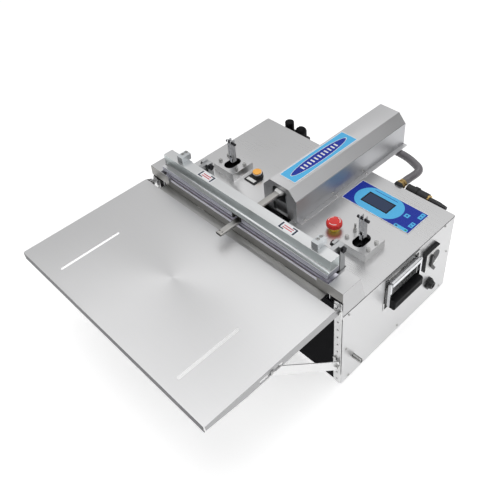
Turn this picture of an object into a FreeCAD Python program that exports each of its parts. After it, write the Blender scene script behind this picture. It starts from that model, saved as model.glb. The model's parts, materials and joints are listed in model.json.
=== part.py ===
"""Benchtop nozzle vacuum sealer: sheet-metal cabinet, pneumatic sealing jaw, nozzle and tilting table.

Frame, in millimetres: +X to the operator's right along the jaw, +Y away from the operator, +Z up.
The origin is the bottom centre of the machine's box, on the plane of the rubber feet.
Depths are counted from FRONT, the cabinet's front face, and heights from BASE, its underside.
"""
import FreeCAD
import Part
import math
import os

Vec = FreeCAD.Vector
X_AXIS = Vec(1, 0, 0)
Y_AXIS = Vec(0, 1, 0)
Z_AXIS = Vec(0, 0, 1)

# ---- driving dimensions -------------------------------------------------------------------------
FRONT = -107.5                    # Y of the cabinet's front face
BASE = 10.0                       # height of the cabinet's underside above the ground
HALF_W = 350.0                    # half the cabinet's width
DEPTH = 456.0                     # cabinet depth
SHEET = 2.0                       # stainless sheet
DECK = BASE + 272.0               # top of the cabinet's deck
SHOULDER = BASE + 350.0           # top of the raised front shoulders
SHOULDER_DEPTH = 60.0             # flat top of a shoulder, front to back
SHOULDER_SLOPE = 20.0             # run of the slope from a shoulder down to the deck
LIP_INNER = 272.0                 # half the opening between the front lips
LIP_BOTTOM = BASE + 320.0         # lower edge of the front lips
JAW_HALF = 299.0                  # half the upper jaw's length
JAW_TOP = BASE + 404.0
JAW_LEDGE = BASE + 371.0          # top of the step along the upper jaw's front
JAW_BOTTOM = BASE + 356.0         # upper jaw's sealing face, jaw open
JAW_FRONT = FRONT + 4.0           # front of the step
JAW_FACE = FRONT + 16.0           # front of the jaw's upper part
JAW_BACK = FRONT + 45.0
SEAL_TOP = BASE + 342.0           # top of the silicone strip on the lower jaw
NOZZLE_Z = BASE + 349.5           # middle of the flat nozzle
NOZZLE_HALF_W = 10.0
NOZZLE_HALF_H = 4.0
NOZZLE_TIP = FRONT - 58.0
LIFT_X = 240.0                    # the two lifting stations stand at plus and minus this
POST_Y = FRONT + 111.0            # lifting posts, behind the jaw
ROD_Y = FRONT + 204.0             # piston rods, through the pedestals
PEDESTAL_TOP = BASE + 295.0
ROD_PIN_Z = BASE + 366.0          # cross pins on the piston rods
HOUSING_FRONT = FRONT + 155.0
HOUSING_BACK = FRONT + 625.0
HOUSING_HALF = 60.0               # nozzle housing: half the width over its walls
HOUSING_TOP_HALF = 34.0
HOUSING_SHOULDER = BASE + 345.0
HOUSING_TOP = BASE + 374.0
FLANGE_HALF = 74.0                # half the width over its foot flanges
TABLE_TOP = BASE + 316.0
TABLE_HALF = 350.0
TABLE_FRONT = FRONT - 410.0
TABLE_BACK = FRONT - 26.0
TABLE_FLANGE = 24.0               # height of the side flanges over the arms
TABLE_EDGE = 14.0                 # height of the front flange
HINGE_Y = FRONT - 14.0            # table hinge pins
HINGE_Z = BASE + 299.0
ARM_Z = BASE + 90.0               # lower pivots of the support arms
ARM_BOLT_Y = FRONT - 225.0        # upper bolts of the arms, in the table's slots
ARM_BOLT_Z = BASE + 300.0
STRIP_PITCH = 28.5                # hole pitch of the perforated strips
STRIP_HOLES = 11
HANDLE_Y = FRONT + 228.0          # carry handles
HANDLE_HALF = 68.0                # half the width of a handle's recess
HANDLE_TOP = BASE + 260.0         # top and bottom of the recess
HANDLE_BOTTOM = BASE + 150.0
HANDLE_PIVOT_Z = BASE + 244.0
HANDLE_DROP = 68.0                # from the pivot down to the middle of the grip
SWITCH_Y = FRONT + 350.0          # main switch on the right panel
SWITCH_Z = BASE + 198.0
GLAND_Y = FRONT + 368.0
GLAND_Z = BASE + 78.0
INLET_Y = FRONT + 46.0
INLET_Z = BASE + 74.0
SEAM = 1.0                        # open seam between the deck and the side panels
KNOB_Y = FRONT + 478.0            # regulator knobs behind the back panel
KNOB_XS = (-276.0, -226.5)
RUN_GAP = 0.05                    # radial clearance of a pin in its bearing

NODES = {}


# ---- helpers ------------------------------------------------------------------------------------
def box(x0, x1, y0, y1, z0, z1):
    """Axis-aligned block between two corners."""
    return Part.makeBox(x1 - x0, y1 - y0, z1 - z0, Vec(x0, y0, z0))


def rod(start, axis, radius, length):
    """Round bar from a start point along an axis."""
    return Part.makeCylinder(radius, length, start, axis)


def rod_mid(centre, axis, radius, length):
    """Round bar centred on a point."""
    return rod(centre - axis * (length / 2), axis, radius, length)


def ring(start, axis, outer, inner, length):
    """Round tube or washer."""
    return rod(start, axis, outer, length).cut(rod(start - axis, axis, inner, length + 2))


def prism(points, direction):
    """Solid from a flat polygon swept along a vector."""
    wire = Part.makePolygon(points + points[:1])
    return Part.Face(wire).extrude(direction)


def hexagon(centre, axis, across_flats, height):
    """Hexagonal bar or bolt head, standing on its centre point."""
    radius = across_flats / math.sqrt(3)
    side = Y_AXIS if abs(axis.x) > 0.5 else X_AXIS
    other = axis.cross(side)
    corners = [
        centre + side * (radius * math.cos(a)) + other * (radius * math.sin(a))
        for a in (math.radians(60 * i) for i in range(6))
    ]
    return prism(corners, axis * height)


def obround(centre, half_length, half_width, height):
    """Upright slot shape, long along Y, from its centre point upwards."""
    straight = half_length - half_width
    core = box(centre.x - half_width, centre.x + half_width, centre.y - straight,
               centre.y + straight, centre.z, centre.z + height)
    ends = [rod(centre + Y_AXIS * s, Z_AXIS, half_width, height) for s in (-straight, straight)]
    return core.fuse(ends)


def rounded_box(x0, x1, y0, y1, z0, z1, radius, axis):
    """Block with the edges along one axis rounded."""
    block = box(x0, x1, y0, y1, z0, z1)
    edges = [
        e for e in block.Edges
        if abs((e.Vertexes[1].Point - e.Vertexes[0].Point).normalize().dot(axis)) > 0.99
    ]
    return block.makeFillet(radius, edges)


def bend_tube(points, radius):
    """Round tube along straight runs joined by tangent arcs, each arc as large as its runs allow."""
    edges = []
    last = points[0]
    for before, corner, after in zip(points, points[1:], points[2:]):
        inward = (corner - before).normalize()
        outward = (after - corner).normalize()
        turn = inward.getAngle(outward)
        reach = 0.45 * min((corner - before).Length, (after - corner).Length)
        arc_radius = reach / math.tan(turn / 2)
        start = corner - inward * reach
        end = corner + outward * reach
        centre = start + (outward - inward * inward.dot(outward)).normalize() * arc_radius
        middle = centre + (corner - centre).normalize() * arc_radius
        edges.append(Part.LineSegment(last, start).toShape())
        edges.append(Part.Arc(start, middle, end).toShape())
        last = end
    edges.append(Part.LineSegment(last, points[-1]).toShape())
    path = Part.Wire(edges)
    profile = Part.Wire([Part.makeCircle(radius, points[0], points[1] - points[0])])
    return path.makePipeShell([profile], True, True)


def mirror_x(shape):
    """Left-hand twin of a right-hand shape."""
    return shape.mirror(Vec(0, 0, 0), X_AXIS)


def both_sides(shape):
    """A right-hand shape and its left-hand twin, as two solids."""
    return [shape, mirror_x(shape)]


def node(name, *solids):
    """Keeps one named node made of one or more separate solids."""
    flat = []
    for item in solids:
        flat.extend(item if isinstance(item, list) else [item])
    NODES[name] = flat[0] if len(flat) == 1 else Part.makeCompound(flat)


def socket_screw(point, axis, radius=3.0, height=3.0):
    """Low cap-screw head with a hexagonal socket, standing on a surface."""
    head = rod(point, axis, radius, height)
    return head.cut(hexagon(point + axis * (height * 0.45), axis, radius, height))


# ---- cabinet ------------------------------------------------------------------------------------
def build_cabinet():
    """Tray, side, front and back panels, deck with its pedestals, shoulders and feet."""
    inner = HALF_W - SHEET
    back = FRONT + DEPTH
    tray = box(-inner + 0.5, inner - 0.5, FRONT + 3, back - 3, BASE, BASE + 22)
    hollow = box(-inner + 2.5, inner - 2.5, FRONT + 5, back - 5, BASE + SHEET, BASE + 30)
    node("base_tray", tray.cut(hollow))

    top = DECK - SHEET - SEAM
    panel = box(inner, HALF_W, FRONT, back, BASE, top)
    flange = box(HALF_W - 26, inner, FRONT, FRONT + SHEET, BASE, top)
    window = box(inner - 1, HALF_W + 1, HANDLE_Y - HANDLE_HALF - 0.5, HANDLE_Y + HANDLE_HALF + 0.5,
                 HANDLE_BOTTOM - 0.5, HANDLE_TOP + 0.5)
    right = panel.fuse(flange).cut(window).removeSplitter()
    left = mirror_x(right)
    right = right.cut(box(inner - 1, HALF_W + 1, SWITCH_Y - 26, SWITCH_Y + 26, SWITCH_Z - 28,
                          SWITCH_Z + 28))
    right = right.cut(rod(Vec(inner - 1, GLAND_Y, GLAND_Z), X_AXIS, 12.2, 4))
    right = right.cut(rod(Vec(inner - 1, INLET_Y, INLET_Z), X_AXIS, 6.7, 4))
    node("right_side_panel", right)
    node("left_side_panel", left)

    node("front_panel", box(-HALF_W + 26.3, HALF_W - 26.3, FRONT + 0.2, FRONT + SHEET,
                            BASE + 0.3, BASE + 296))

    rear = box(-inner + 0.3, inner - 0.3, back - SHEET, back, BASE + 0.3, DECK - SHEET - 0.3)
    for row in range(9):
        for side in (-1, 1):
            z = BASE + 60 + 14 * row
            x = side * 210
            rear = rear.cut(box(x - 60, x + 60, back - 5, back + 5, z, z + 5))
    node("rear_panel", rear)

    build_deck(back)
    build_shoulders()
    feet = []
    for x in (-300, 300):
        for y in (FRONT + 50, FRONT + 406):
            feet.append(Part.makeCone(16, 19, BASE, Vec(x, y, 0), Z_AXIS))
    node("rubber_feet", feet)


def build_deck(back):
    """Deck with two raised pedestals, rod holes, post slots and a well in front of the housing."""
    front = FRONT + SHOULDER_DEPTH + SHOULDER_SLOPE + 1.5
    deck = box(-HALF_W, HALF_W, front, back, DECK - SHEET, DECK)
    well = box(-HOUSING_HALF - 8, HOUSING_HALF - 20, FRONT + 132, HOUSING_FRONT + 2,
               DECK - SHEET - 1, DECK + 1)
    for side in (-1, 1):
        x = side * LIFT_X
        raised = box(x - 42, x + 42, ROD_Y - 40, ROD_Y + 38, DECK - SHEET, PEDESTAL_TOP)
        under = box(x - 40, x + 40, ROD_Y - 38, ROD_Y + 36, DECK - SHEET - 1,
                    PEDESTAL_TOP - SHEET)
        deck = deck.fuse(raised).cut(under)
        deck = deck.cut(obround(Vec(x, ROD_Y - 3, DECK - 5), 27, 17, 60))
        deck = deck.cut(box(x - 15, x + 15, FRONT + 80, POST_Y + 14, DECK - 10, DECK + 10))
    for x, y, radius in ((145, FRONT + 207, 14.0), (-161, FRONT + 224, 11.2)):
        deck = deck.cut(rod(Vec(x, y, DECK - 5), Z_AXIS, radius, 10))
    node("top_deck", deck.cut(well).removeSplitter())


def build_shoulders():
    """Raised box at each end of the jaw, with a front lip that reaches in front of the jaw."""
    top_inner = 306.0
    outline = [
        Vec(top_inner, FRONT, SHOULDER), Vec(HALF_W, FRONT, SHOULDER),
        Vec(HALF_W, FRONT + SHOULDER_DEPTH, SHOULDER), Vec(top_inner, FRONT + SHOULDER_DEPTH, SHOULDER),
    ]
    low = DECK - SHEET
    slope_end = FRONT + SHOULDER_DEPTH + SHOULDER_SLOPE
    top = prism(outline, Z_AXIS * -SHEET)
    lip = box(LIP_INNER, HALF_W, FRONT - SHEET, FRONT, LIP_BOTTOM, SHOULDER)
    front = box(HALF_W - 26, HALF_W, FRONT, FRONT + SHEET, low, LIP_BOTTOM - 12)
    inner_wall = box(top_inner, top_inner + SHEET, FRONT + 3, FRONT + SHOULDER_DEPTH,
                     BASE + 250, SHOULDER - 1)
    slope = [
        Vec(top_inner, FRONT + SHOULDER_DEPTH, SHOULDER), Vec(top_inner, slope_end, DECK),
        Vec(top_inner, slope_end, low), Vec(top_inner, slope_end - 2.2, low),
        Vec(top_inner, FRONT + SHOULDER_DEPTH - 2.2, SHOULDER),
    ]
    back = prism(slope, X_AXIS * (HALF_W - top_inner))
    outside = [
        Vec(HALF_W, FRONT, low), Vec(HALF_W, slope_end, low), Vec(HALF_W, slope_end, DECK),
        Vec(HALF_W, FRONT + SHOULDER_DEPTH, SHOULDER), Vec(HALF_W, FRONT, SHOULDER),
    ]
    wall = prism(outside, X_AXIS * -SHEET)
    shoulder = top.fuse([lip, front, inner_wall, back, wall]).removeSplitter()
    node("front_shoulders", both_sides(shoulder))


def build_screws():
    """Screw heads of the side panels, of the housing's walls and of its foot flanges."""
    heads = []
    for side in (-1, 1):
        for y in (FRONT + 179, FRONT + 309, FRONT + 438):
            top = Vec(side * 67, y, DECK + SHEET + 0.1)
            heads.append(socket_screw(top, Z_AXIS, 3.4, 2.4))
        for y in (FRONT + 300, FRONT + 430):
            wall = Vec(side * (HOUSING_HALF + 0.05), y, DECK + 14)
            heads.append(socket_screw(wall, X_AXIS * side, 3.0, 2.0))
    for y, z in ((22, 259), (16, 132), (28, 8), (412, 262), (440, 148), (432, 12), (234, 17)):
        head = socket_screw(Vec(HALF_W + 0.02, FRONT + y, BASE + z), X_AXIS, 3.6, 2.4)
        heads.extend(both_sides(head))
    node("sheet_screws", heads)


# ---- sealing jaws -------------------------------------------------------------------------------
def build_lower_jaw():
    """Fixed aluminium beam with a silicone sealing strip let into its top."""
    beam = box(-JAW_HALF + 1, JAW_HALF - 1, FRONT + 3, FRONT + 45, BASE + 306, SEAL_TOP - 3)
    beam = beam.cut(box(-JAW_HALF, JAW_HALF, FRONT + 9, FRONT + 23, SEAL_TOP - 8, SEAL_TOP))
    beam = beam.cut(box(-JAW_HALF, JAW_HALF, FRONT + 30, FRONT + 40, BASE + 304, SEAL_TOP - 9))
    strip = rounded_box(-JAW_HALF + 3, JAW_HALF - 3, FRONT + 9.05, FRONT + 22.95, SEAL_TOP - 7.95,
                        SEAL_TOP, 1.2, X_AXIS)
    node("silicone_strip", strip)
    rails = [box(x - 12, x + 12, FRONT + 4, FRONT + 44, BASE + 22.4, BASE + 305.7)
             for x in (-150, 150)]
    hollows = [box(x - 9, x + 9, FRONT + 7, FRONT + 41, BASE + 25, BASE + 303)
               for x in (-150, 150)]
    node("lower_jaw", beam, [rail.cut(h) for rail, h in zip(rails, hollows)])


def build_upper_jaw():
    """Stepped aluminium beam with a notch for the nozzle, heater band, clamps and lifting arms."""
    profile = [
        Vec(-JAW_HALF, JAW_FRONT, JAW_LEDGE), Vec(-JAW_HALF, JAW_FRONT, JAW_BOTTOM),
        Vec(-JAW_HALF, JAW_BACK, JAW_BOTTOM), Vec(-JAW_HALF, JAW_BACK, JAW_TOP),
        Vec(-JAW_HALF, JAW_FACE, JAW_TOP), Vec(-JAW_HALF, JAW_FACE, JAW_LEDGE + 3),
        Vec(-JAW_HALF, JAW_FACE - 3, JAW_LEDGE),
    ]
    beam = prism(profile, X_AXIS * (2 * JAW_HALF))
    notch = box(-16, 16, JAW_FRONT - 1, JAW_BACK + 1, JAW_BOTTOM - 1, JAW_BOTTOM + 14.5)
    beam = beam.cut(notch)
    groove = box(-JAW_HALF - 1, JAW_HALF + 1, FRONT + 9, FRONT + 20, JAW_BOTTOM - 1,
                 JAW_BOTTOM + 1.5)
    beam = beam.cut(groove)
    for k in range(2):
        z = JAW_BOTTOM + 4 + 5 * k
        beam = beam.cut(box(-JAW_HALF - 1, JAW_HALF + 1, JAW_FRONT - 1, JAW_FRONT + 1.2, z, z + 2))
    node("upper_jaw", beam.removeSplitter())

    gasket = box(-15.9, 15.9, JAW_FRONT - 1.2, JAW_FRONT + 30, JAW_BOTTOM, JAW_BOTTOM + 14.4)
    gasket = gasket.cut(box(-NOZZLE_HALF_W - 1.2, NOZZLE_HALF_W + 1.2, JAW_FRONT - 2,
                            JAW_BACK, JAW_BOTTOM - 1, JAW_BOTTOM + 12.2))
    node("nozzle_gasket", gasket)

    bands = []
    for x0, x1 in ((-JAW_HALF + 8, -16.5), (16.5, JAW_HALF - 8)):
        bands.append(box(x0, x1, FRONT + 10, FRONT + 19, JAW_BOTTOM + 1.0, JAW_BOTTOM + 1.45))
    for x0, x1 in ((-JAW_HALF + 6, -16.5), (16.5, JAW_HALF - 6)):
        bands.append(box(x0, x1, FRONT + 9.05, FRONT + 19.95, JAW_BOTTOM + 0.4,
                         JAW_BOTTOM + 0.95))
    node("heater_bands", bands)

    blocks = []
    screws = []
    for x0 in (-248, 233):
        block = rounded_box(x0, x0 + 21, JAW_FACE + 7, JAW_BACK + 10, JAW_TOP + 0.02,
                            JAW_TOP + 16.5, 2, Z_AXIS)
        for y in (FRONT + 38.5, FRONT + 50):
            block = block.cut(rod(Vec(x0 + 7, y, JAW_TOP + 12), Z_AXIS, 4.9, 5))
            screws.append(socket_screw(Vec(x0 + 7, y, JAW_TOP + 12.04), Z_AXIS, 4.5, 4.5))
        blocks.append(block)
    node("jaw_clamps", blocks)
    node("clamp_screws", screws)
    build_jaw_lift()


def build_jaw_lift():
    """Arms behind the jaw, posts through the deck, tie bars to the piston rods and their pins."""
    arms = []
    bolts = []
    posts = []
    bars = []
    rods = []
    pins = []
    for side in (-1, 1):
        x = side * LIFT_X
        arm = box(x - 6, x + 6, JAW_BACK + 0.04, POST_Y + 10, BASE + 332, BASE + 350)
        arm = arm.fuse(box(x - 20, x + 20, JAW_BACK + 0.04, JAW_BACK + 6, BASE + 324, BASE + 398))
        pivot = Vec(x, POST_Y, BASE + 341)
        arms.append(arm.cut(rod_mid(pivot, X_AXIS, 5, 60)).removeSplitter())
        shank = rod_mid(pivot, X_AXIS, 4.95, 29)
        head = hexagon(Vec(x + 14.1, POST_Y, BASE + 341), X_AXIS, 15, 6)
        nut = hexagon(Vec(x - 20.1, POST_Y, BASE + 341), X_AXIS, 15, 6)
        bolts.append(shank.fuse([head, nut]))
        fork = box(x - 14, x + 14, POST_Y - 9, POST_Y + 9, BASE + 222.05, BASE + 353)
        fork = fork.cut(box(x - 6.1, x + 6.1, POST_Y - 20, POST_Y + 20, BASE + 326, BASE + 360))
        posts.append(fork.cut(rod_mid(pivot, X_AXIS, 5, 60)))
        bar = box(x - 14, x + 14, POST_Y - 9, ROD_Y + 16, BASE + 204, BASE + 222)
        bars.append(bar.cut(rod(Vec(x, ROD_Y, BASE + 200), Z_AXIS, 6, 40)))
        shaft = rod(Vec(x, ROD_Y, BASE + 120), Z_AXIS, 5.95, ROD_PIN_Z - BASE - 190)
        clevis = box(x - 8, x + 8, ROD_Y - 7, ROD_Y + 7, ROD_PIN_Z - 76, ROD_PIN_Z + 10)
        clevis = clevis.cut(box(x - 4.2, x + 4.2, ROD_Y - 10, ROD_Y + 10, ROD_PIN_Z - 66,
                                ROD_PIN_Z + 11))
        clevis = clevis.cut(rod_mid(Vec(x, ROD_Y, ROD_PIN_Z), X_AXIS, 4, 40))
        rods.append(shaft.fuse(clevis))
        pins.append(rod_mid(Vec(x, ROD_Y, ROD_PIN_Z), X_AXIS, 3.98, 36))
    node("jaw_arms", arms)
    node("lift_posts", posts, bars)
    node("lift_pins", bolts, pins)
    node("piston_rods", rods)


def build_lift_cylinders():
    """Air cylinders under the deck, their guide blocks and the bolts through the pedestals."""
    cylinders = []
    guides = []
    bolts = []
    for side in (-1, 1):
        x = side * LIFT_X
        body = ring(Vec(x, ROD_Y, BASE + 24), Z_AXIS, 25, 20, 150)
        foot = box(x - 30, x + 30, ROD_Y - 30, ROD_Y + 30, BASE + SHEET + 0.05, BASE + 24)
        cap = ring(Vec(x, ROD_Y, BASE + 174), Z_AXIS, 25, 6.3, 12)
        cylinders.append(foot.fuse([body, cap]))
        block = box(x - 39.5, x + 39.5, ROD_Y - 34, ROD_Y + 28, PEDESTAL_TOP - 40,
                    PEDESTAL_TOP - 20)
        guides.append(block.cut(obround(Vec(x, ROD_Y, PEDESTAL_TOP - 50), 12, 7, 60)))
        for dx, dy in ((-34, -16), (-34, 16), (34, -16), (34, 16)):
            foot_point = Vec(x + dx, ROD_Y - 3 + dy, PEDESTAL_TOP + 0.05)
            stud = 25 if side > 0 and dx < 0 < dy else 8
            bolts.append(hexagon(foot_point, Z_AXIS, 10, 4).fuse(rod(foot_point, Z_AXIS, 4, stud)))
    node("lift_cylinders", cylinders, guides)
    node("pedestal_bolts", bolts)


# ---- nozzle -------------------------------------------------------------------------------------
def build_nozzle():
    """Flat suction nozzle on a carriage, with its guide rods, air cylinder and housing."""
    tube_back = HOUSING_FRONT + 40
    flat = rounded_box(-NOZZLE_HALF_W, NOZZLE_HALF_W, NOZZLE_TIP, tube_back, NOZZLE_Z - NOZZLE_HALF_H,
                       NOZZLE_Z + NOZZLE_HALF_H, 3.4, Y_AXIS)
    bore = rounded_box(-NOZZLE_HALF_W + 1.2, NOZZLE_HALF_W - 1.2, NOZZLE_TIP - 1, tube_back + 1,
                       NOZZLE_Z - NOZZLE_HALF_H + 1.2, NOZZLE_Z + NOZZLE_HALF_H - 1.2, 2.4, Y_AXIS)
    tube = flat.cut(bore)
    for x in (-4.5, 4.5):
        tube = tube.cut(rod(Vec(x, NOZZLE_TIP + 9, NOZZLE_Z), Z_AXIS, 1.8, 20))
    node("suction_nozzle", tube)

    carriage = box(-34, 34, tube_back + 0.05, tube_back + 30, BASE + 296, BASE + 362)
    for x in (-24, 24):
        carriage = carriage.cut(rod(Vec(x, tube_back - 5, BASE + 308), Y_AXIS, 5.0, 50))
    carriage = carriage.cut(rod(Vec(0, tube_back - 5, NOZZLE_Z), Y_AXIS, 3, 60))
    carriage = carriage.cut(rod(Vec(0, tube_back - 5, BASE + 320), Y_AXIS, 4, 60))
    piston = rod(Vec(0, tube_back + 0.05, BASE + 320), Y_AXIS, 3.98, 180)
    node("nozzle_carriage", carriage, piston)

    ends = [box(-42, 42, y, y + 8, DECK + 0.05, BASE + 340)
            for y in (HOUSING_FRONT + 6, HOUSING_FRONT + 190)]
    rods = []
    for x in (-24, 24):
        rods.append(rod(Vec(x, HOUSING_FRONT + 2, BASE + 308), Y_AXIS, 4.94, 200))
        ends = [end.cut(rod(Vec(x, FRONT, BASE + 308), Y_AXIS, 4.95, 600)) for end in ends]
    ends[0] = ends[0].cut(box(-16, 16, FRONT, HOUSING_FRONT + 60, BASE + 312, BASE + 360))
    ends[1] = ends[1].cut(rod(Vec(0, FRONT, BASE + 320), Y_AXIS, 4.4, 600))
    cylinder = ring(Vec(0, HOUSING_FRONT + 198.05, BASE + 320), Y_AXIS, 16, 4.4, 12)
    barrel = ring(Vec(0, HOUSING_FRONT + 210.05, BASE + 320), Y_AXIS, 16, 12, 140)
    end_cap = rod(Vec(0, HOUSING_FRONT + 350.05, BASE + 320), Y_AXIS, 16, 12)
    node("nozzle_drive", cylinder.fuse([barrel, end_cap]).removeSplitter(), rods, ends)
    build_housing()


def housing_section(y, inset):
    """Closed outline of the housing's outside, drawn in by a wall thickness."""
    half = HOUSING_HALF - inset
    top_half = HOUSING_TOP_HALF - inset * 0.45
    shoulder = HOUSING_SHOULDER - inset * 0.45
    return [
        Vec(-half, y, DECK + 0.05 - inset), Vec(half, y, DECK + 0.05 - inset), Vec(half, y, shoulder),
        Vec(top_half, y, HOUSING_TOP - inset), Vec(-top_half, y, HOUSING_TOP - inset),
        Vec(-half, y, shoulder),
    ]


def build_housing():
    """Folded sheet tunnel over the nozzle drive; it overhangs the cabinet's back."""
    length = HOUSING_BACK - HOUSING_FRONT
    outer = prism(housing_section(HOUSING_FRONT, 0), Y_AXIS * length)
    inner = prism(housing_section(HOUSING_FRONT - 1, SHEET), Y_AXIS * (length - SHEET + 1))
    shell = outer.cut(inner)
    end_plate = prism(housing_section(HOUSING_FRONT, 0), Y_AXIS * SHEET)
    arch = rounded_box(-26, 26, HOUSING_FRONT - 1, HOUSING_FRONT + 5, DECK - 20, BASE + 361, 12,
                       Y_AXIS)
    shell = shell.fuse(end_plate.cut(arch))
    flanges = []
    for side in (-1, 1):
        edges = sorted((side * (HOUSING_HALF - 1), side * FLANGE_HALF))
        flanges.append(box(edges[0], edges[1], HOUSING_FRONT + 4, HOUSING_BACK, DECK + 0.05,
                           DECK + 0.05 + SHEET))
    node("nozzle_housing", shell.fuse(flanges).removeSplitter())
    node("housing_badge", box(-29, 29, FRONT + 185, FRONT + 440, HOUSING_TOP + 0.05,
                              HOUSING_TOP + 0.85))


# ---- controls on the deck -----------------------------------------------------------------------
def build_controls():
    """Emergency stop, start button, keypad with its display."""
    stop = Vec(145, FRONT + 207, DECK)
    node("stop_base", ring(stop + Z_AXIS * 0.05, Z_AXIS, 15, 9.6, 14).fuse(
        ring(stop - Z_AXIS * 30, Z_AXIS, 13.8, 9.6, 31)))
    head = rod(stop + Z_AXIS * 12.5, Z_AXIS, 21.5, 14.5)
    head = head.makeFillet(5, [e for e in head.Edges if len(e.Vertexes) == 1
                               and abs(e.CenterOfMass.z - stop.z - 27) < 0.1])
    head = head.cut(rod(stop + Z_AXIS * 12, Z_AXIS, 16, 7))
    neck = rod(stop - Z_AXIS * 18, Z_AXIS, 9.5, 38)
    node("stop_head", head.fuse(neck).removeSplitter())

    button = Vec(-161, FRONT + 224, DECK)
    plate = rounded_box(-182, -140, FRONT + 190, FRONT + 226, DECK + 0.05, DECK + 3, 2, Z_AXIS)
    plate = plate.fuse(rod(button + Z_AXIS * 0.05, Z_AXIS, 17.5, 2.95)).removeSplitter()
    legend = box(-178, -144, FRONT + 193, FRONT + 205, DECK + 3.05, DECK + 3.6)
    node("button_plate", plate.cut(rod(button - Z_AXIS, Z_AXIS, 11.2, 20)), legend)
    bezel = ring(button + Z_AXIS * 3.05, Z_AXIS, 16.5, 10.2, 6)
    bezel = bezel.fuse(ring(button + Z_AXIS * 9, Z_AXIS, 16.5, 14.2, 4))
    stem = ring(button - Z_AXIS * 24, Z_AXIS, 11.0, 10.2, 27.05)
    node("button_bezel", bezel.fuse(stem).removeSplitter())
    cap = rod(button + Z_AXIS * 13.5, Z_AXIS, 13.8, 7)
    cap = cap.makeFillet(2.5, [e for e in cap.Edges if len(e.Vertexes) == 1
                               and e.CenterOfMass.z > DECK + 15])
    node("button_cap", cap.fuse(rod(button - Z_AXIS * 16, Z_AXIS, 9.9, 30)).removeSplitter())

    overlay = rounded_box(78, 301, FRONT + 315, FRONT + 409, DECK + 0.05, DECK + 1.4, 3, Z_AXIS)
    node("keypad_overlay", overlay.cut(box(124, 213, FRONT + 339, FRONT + 384, DECK, DECK + 2)))
    node("display_window", box(124.2, 212.8, FRONT + 339.2, FRONT + 383.8, DECK + 0.05,
                               DECK + 1.2))
    node("control_board", box(90, 290, FRONT + 320, FRONT + 404, DECK - 22, DECK - 18),
         box(120, 217, FRONT + 335, FRONT + 388, DECK - 17.9, DECK - 4))


def build_side_controls():
    """Main switch with its lever, cable gland and air inlet on the right panel."""
    face = HALF_W + 0.05
    bezel = rounded_box(face, face + 10, SWITCH_Y - 31, SWITCH_Y + 31, SWITCH_Z - 33.5,
                        SWITCH_Z + 33.5, 3, X_AXIS)
    body = box(HALF_W - 45, face + 1, SWITCH_Y - 25, SWITCH_Y + 25, SWITCH_Z - 27, SWITCH_Z + 27)
    spindle = Vec(face - 20, SWITCH_Y + 10, SWITCH_Z + 4)
    bore = rod(spindle, X_AXIS, 4.05, 60)
    plate = box(face + 10.05, face + 11, SWITCH_Y - 29, SWITCH_Y + 29, SWITCH_Z - 31.5,
                SWITCH_Z + 31.5)
    node("switch_body", bezel.fuse(body).cut(bore).removeSplitter(), plate.cut(bore))
    stem = rod(spindle + X_AXIS * 5, X_AXIS, 4.0, 28)
    dial = rod(spindle + X_AXIS * 31.4, X_AXIS, 18, 2.2)
    web = box(face + 13, face + 20, spindle.y - 26, spindle.y - 12, spindle.z - 9, spindle.z + 10)
    bar = box(face + 13, face + 20, spindle.y - 26, spindle.y - 18, spindle.z - 18, spindle.z + 20)
    toe = [Vec(face + 13, spindle.y + dy, spindle.z + dz)
           for dy, dz in ((-26, -18), (-18, -15), (-2, -38), (-9, -43))]
    lever = stem.fuse([dial, web, bar, prism(toe, X_AXIS * 7)])
    node("switch_lever", lever.removeSplitter())

    centre = Vec(face, GLAND_Y, GLAND_Z)
    nut = hexagon(centre, X_AXIS, 32, 7)
    dome = Part.makeCone(14, 10.5, 10, centre + X_AXIS * 7, X_AXIS)
    thread = rod(centre - X_AXIS * 14, X_AXIS, 12.0, 15)
    hole = rod(centre - X_AXIS * 20, X_AXIS, 6.5, 60)
    node("cable_gland", nut.fuse([dome, thread]).cut(hole).removeSplitter())
    outer = rod(Vec(HALF_W + 0.5, INLET_Y, INLET_Z), X_AXIS, 6.5, 25.5)
    inner = rod(Vec(HALF_W - 10, INLET_Y, INLET_Z), X_AXIS, 6.2, 11)
    bore = rod(Vec(HALF_W - 11, INLET_Y, INLET_Z), X_AXIS, 4.5, 40)
    node("air_inlet", outer.fuse(inner).cut(bore).removeSplitter())


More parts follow.
